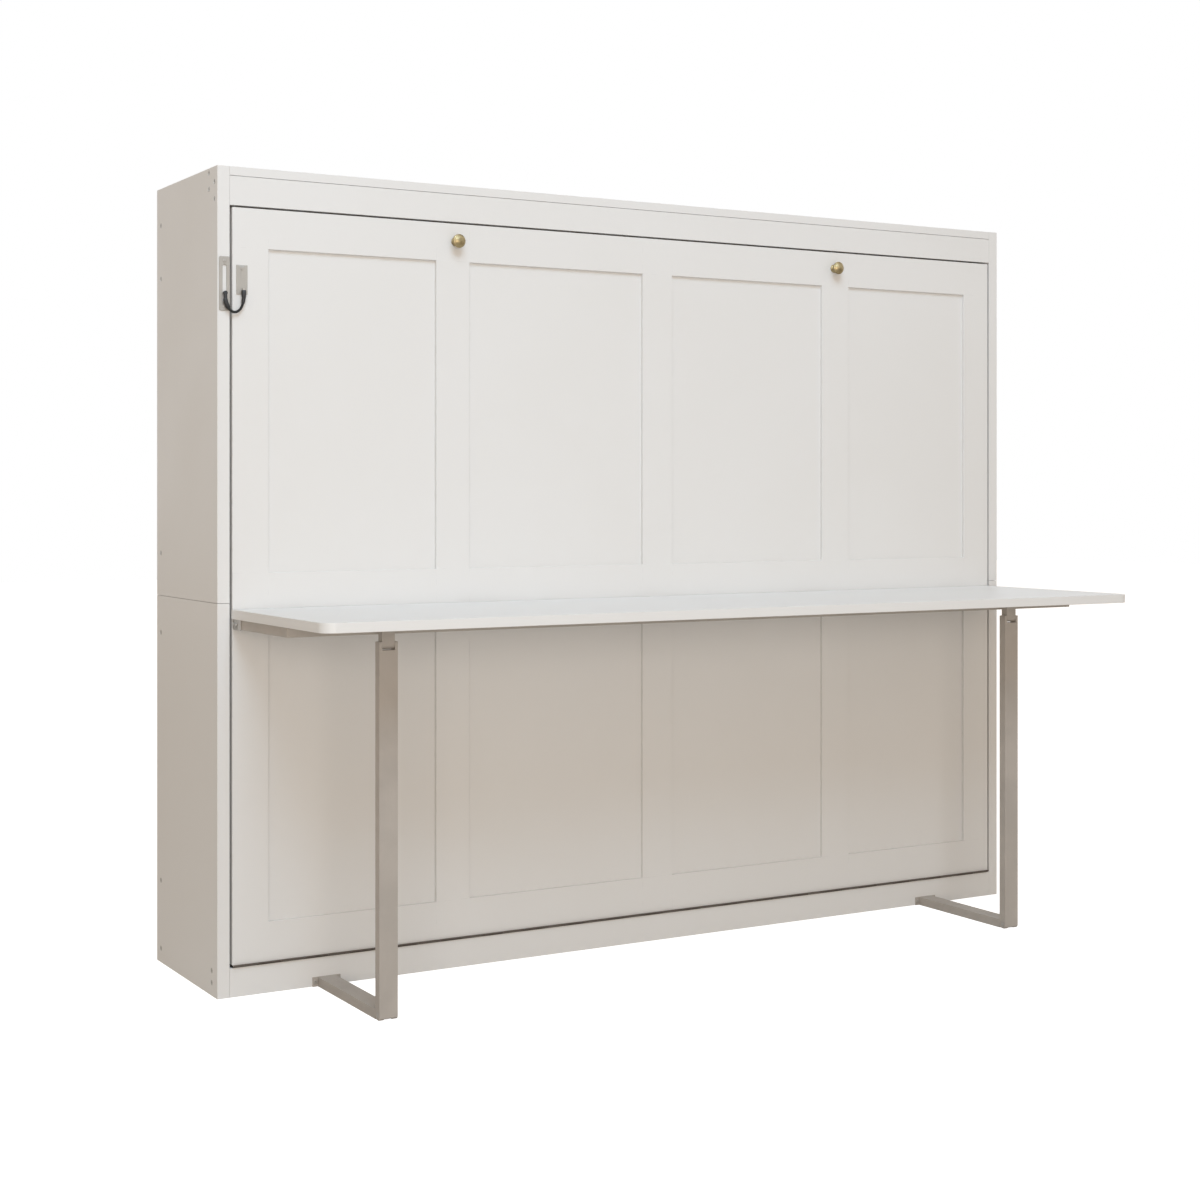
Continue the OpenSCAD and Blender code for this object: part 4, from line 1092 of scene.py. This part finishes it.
def hinges():
    # The bed hinge takes the dark paint that stands in for the shadow line along the plinth joint
    for node in ("bed_hinge_plinth_leaves", "bed_hinge_face_leaves"):
        dress(node, "bronze_steel", 0.2, 1, shape=slim_knuckles(node))
    for node in ("desk_hinge_face_leaves", "desk_hinge_desk_leaves"):
        dress(node, "white_steel", 0.2, 1)
    for node in ("bed_hinge_pins", "desk_hinge_pins"):
        dress(node, "zinc_steel", 0.2, 1)
    places = []
    for low, high in solids_of("desk_hinge_face_leaves"):
        for share in (0.14, 0.5, 0.86):
            x = low.x + (high.x - low.x) * share
            places.append((Vector((x, high.y - 1.3 * MM, low.z + 8 * MM)), FORWARD))
    screw_heads("desk_hinge_screws", places, 3.0, 0.8, CROSS_DRIVE, "bed", "white_steel", slot="white_steel")


def struts():
    for side in ("left", "right"):
        dress(f"strut_cylinder_{side}", "black_steel", 0.6, 2)
        dress(f"strut_rod_{side}", "zinc_steel", 0.4, 2)
    dress("strut_brackets", "zinc_steel", 0.5, 2)


# ------------------------------------------------------------------ desk and legs


def desk():
    dress("desk_top", "desk_board", 1.4, 3, "board_edge")
    dress("underframe_front", "frame_paint_x", 0.9, 3)
    dress("underframe_rear", "frame_paint_x", 0.9, 3)
    dress("underframe_ends", "frame_paint_y", 0.9, 3)
    dress("underframe_cross", "frame_paint_y", 0.9, 3)
    dress("corner_brackets", "zinc_steel", 0.5, 2)
    dress("leg_tongues", "frame_paint", 0.5, 2)
    dress("rest_pads", "rubber_black", 1.5, 2)


def legs():
    """Legs and floor bars; each bar's lug is raised a little off the leg that folds under it."""
    lug_underside_mm, clearance_mm = 2, 0.25
    for side in ("left", "right"):
        dress(f"leg_{side}", "frame_paint", 0.7, 3)
        bar = f"foot_bar_{side}"
        lifted = raise_level(merged_copy(bar), lug_underside_mm, clearance_mm)
        dress(bar, "frame_paint_y", 0.7, 2, shape=lifted)
    dress("foot_pins", "zinc_steel", 0.6, 2)
    places = []
    for low, high in solids_of("foot_screws"):
        centre = (low + high) / 2
        places.append((Vector((centre.x, low.y + 1.9 * MM, centre.z)), FORWARD))
    screw_heads("foot_screw_heads", places, 4.2, 1.85, CROSS_DRIVE, "cabinet", "zinc_steel", "foot_screws")


# ------------------------------------------------------------------ studio


def area_light(name, place, target, size, power, colour):
    data = bpy.data.lights.new(name, "AREA")
    data.shape = "RECTANGLE"
    data.size, data.size_y = size
    data.energy = power
    data.color = colour
    light = bpy.data.objects.new(name, data)
    light.location = place
    light.rotation_euler = (Vector(target) - Vector(place)).to_track_quat("-Z", "Y").to_euler()
    bpy.context.scene.collection.objects.link(light)


def seen_share(wiring, mirrored):
    """1 for rays from the camera and, where mirrored, for those off gloss or through glass."""
    rays = wiring.add("ShaderNodeLightPath").outputs
    seen = rays["Is Camera Ray"]
    if mirrored:
        seen = wiring.math("MAXIMUM", seen, rays["Is Glossy Ray"])
        seen = wiring.math("MAXIMUM", seen, rays["Is Transmission Ray"])
    return seen


def studio_floor():
    """White floor that keeps the shadows."""
    bm = bmesh.new()
    bmesh.ops.create_grid(bm, x_segments=2, y_segments=2, size=18.0)
    floor = bpy.data.objects.new("studio_floor", finish_mesh(bm, "studio_floor"))
    bpy.context.scene.collection.objects.link(floor)
    finish = Finish("studio_floor", roughness=0.9)
    tint = finish.group("tint", light=(0.66, 0.64, 0.61, 1), deep=(0.65, 0.63, 0.60, 1), scale=0.4)
    finish.wire(base_color=tint["Color"])
    wiring = finish.wiring
    strength = wiring.math("MULTIPLY", seen_share(wiring, False), 0.86)
    glow = wiring.add("ShaderNodeEmission", {"Color": (1, 1, 1, 1), "Strength": strength})
    lit = wiring.add("ShaderNodeAddShader", {0: finish.shader.outputs[0], 1: glow.outputs[0]})
    wiring.feed(finish.material.node_tree.nodes["Material Output"], "Surface", lit.outputs[0])
    floor.data.materials.append(finish.material)


def studio():
    """White surroundings, warm light all round, and a cool high and a warm low light in front."""
    studio_floor()
    world = bpy.data.worlds.new("studio")
    world.use_nodes = True
    wiring = Wiring(world.node_tree)
    light = world.node_tree.nodes["Background"]
    light.inputs["Color"].default_value = (1.0, 0.82, 0.63, 1.0)
    light.inputs["Strength"].default_value = 0.47
    white = wiring.add("ShaderNodeBackground", {"Color": (1, 1, 1, 1), "Strength": 1.0})
    mixed = wiring.add("ShaderNodeMixShader", {
        0: seen_share(wiring, True), 1: light.outputs[0], 2: white.outputs[0],
    })
    wiring.feed(world.node_tree.nodes["World Output"], "Surface", mixed.outputs[0])
    bpy.context.scene.world = world
    area_light("key", (-1.6, -3.9, 5.6), (0.0, 0.0, 0.9), (3.6, 3.0), 216, (0.62, 0.81, 1.0))
    area_light("low_fill", (-3.0, -6.5, 1.3), (0.0, 0.0, 0.8), (5.0, 2.2), 125, (1.0, 0.90, 0.81))
    bpy.context.scene.view_settings.view_transform = "Standard"


make_camera()
latch_cord()
latch_hardware()
cabinet_boards()
side_screws()
bed_front()
brass_knobs()
bed_frame()
slat_row()
mattress()
mattress_straps()
hinges()
struts()
desk()
legs()
studio()
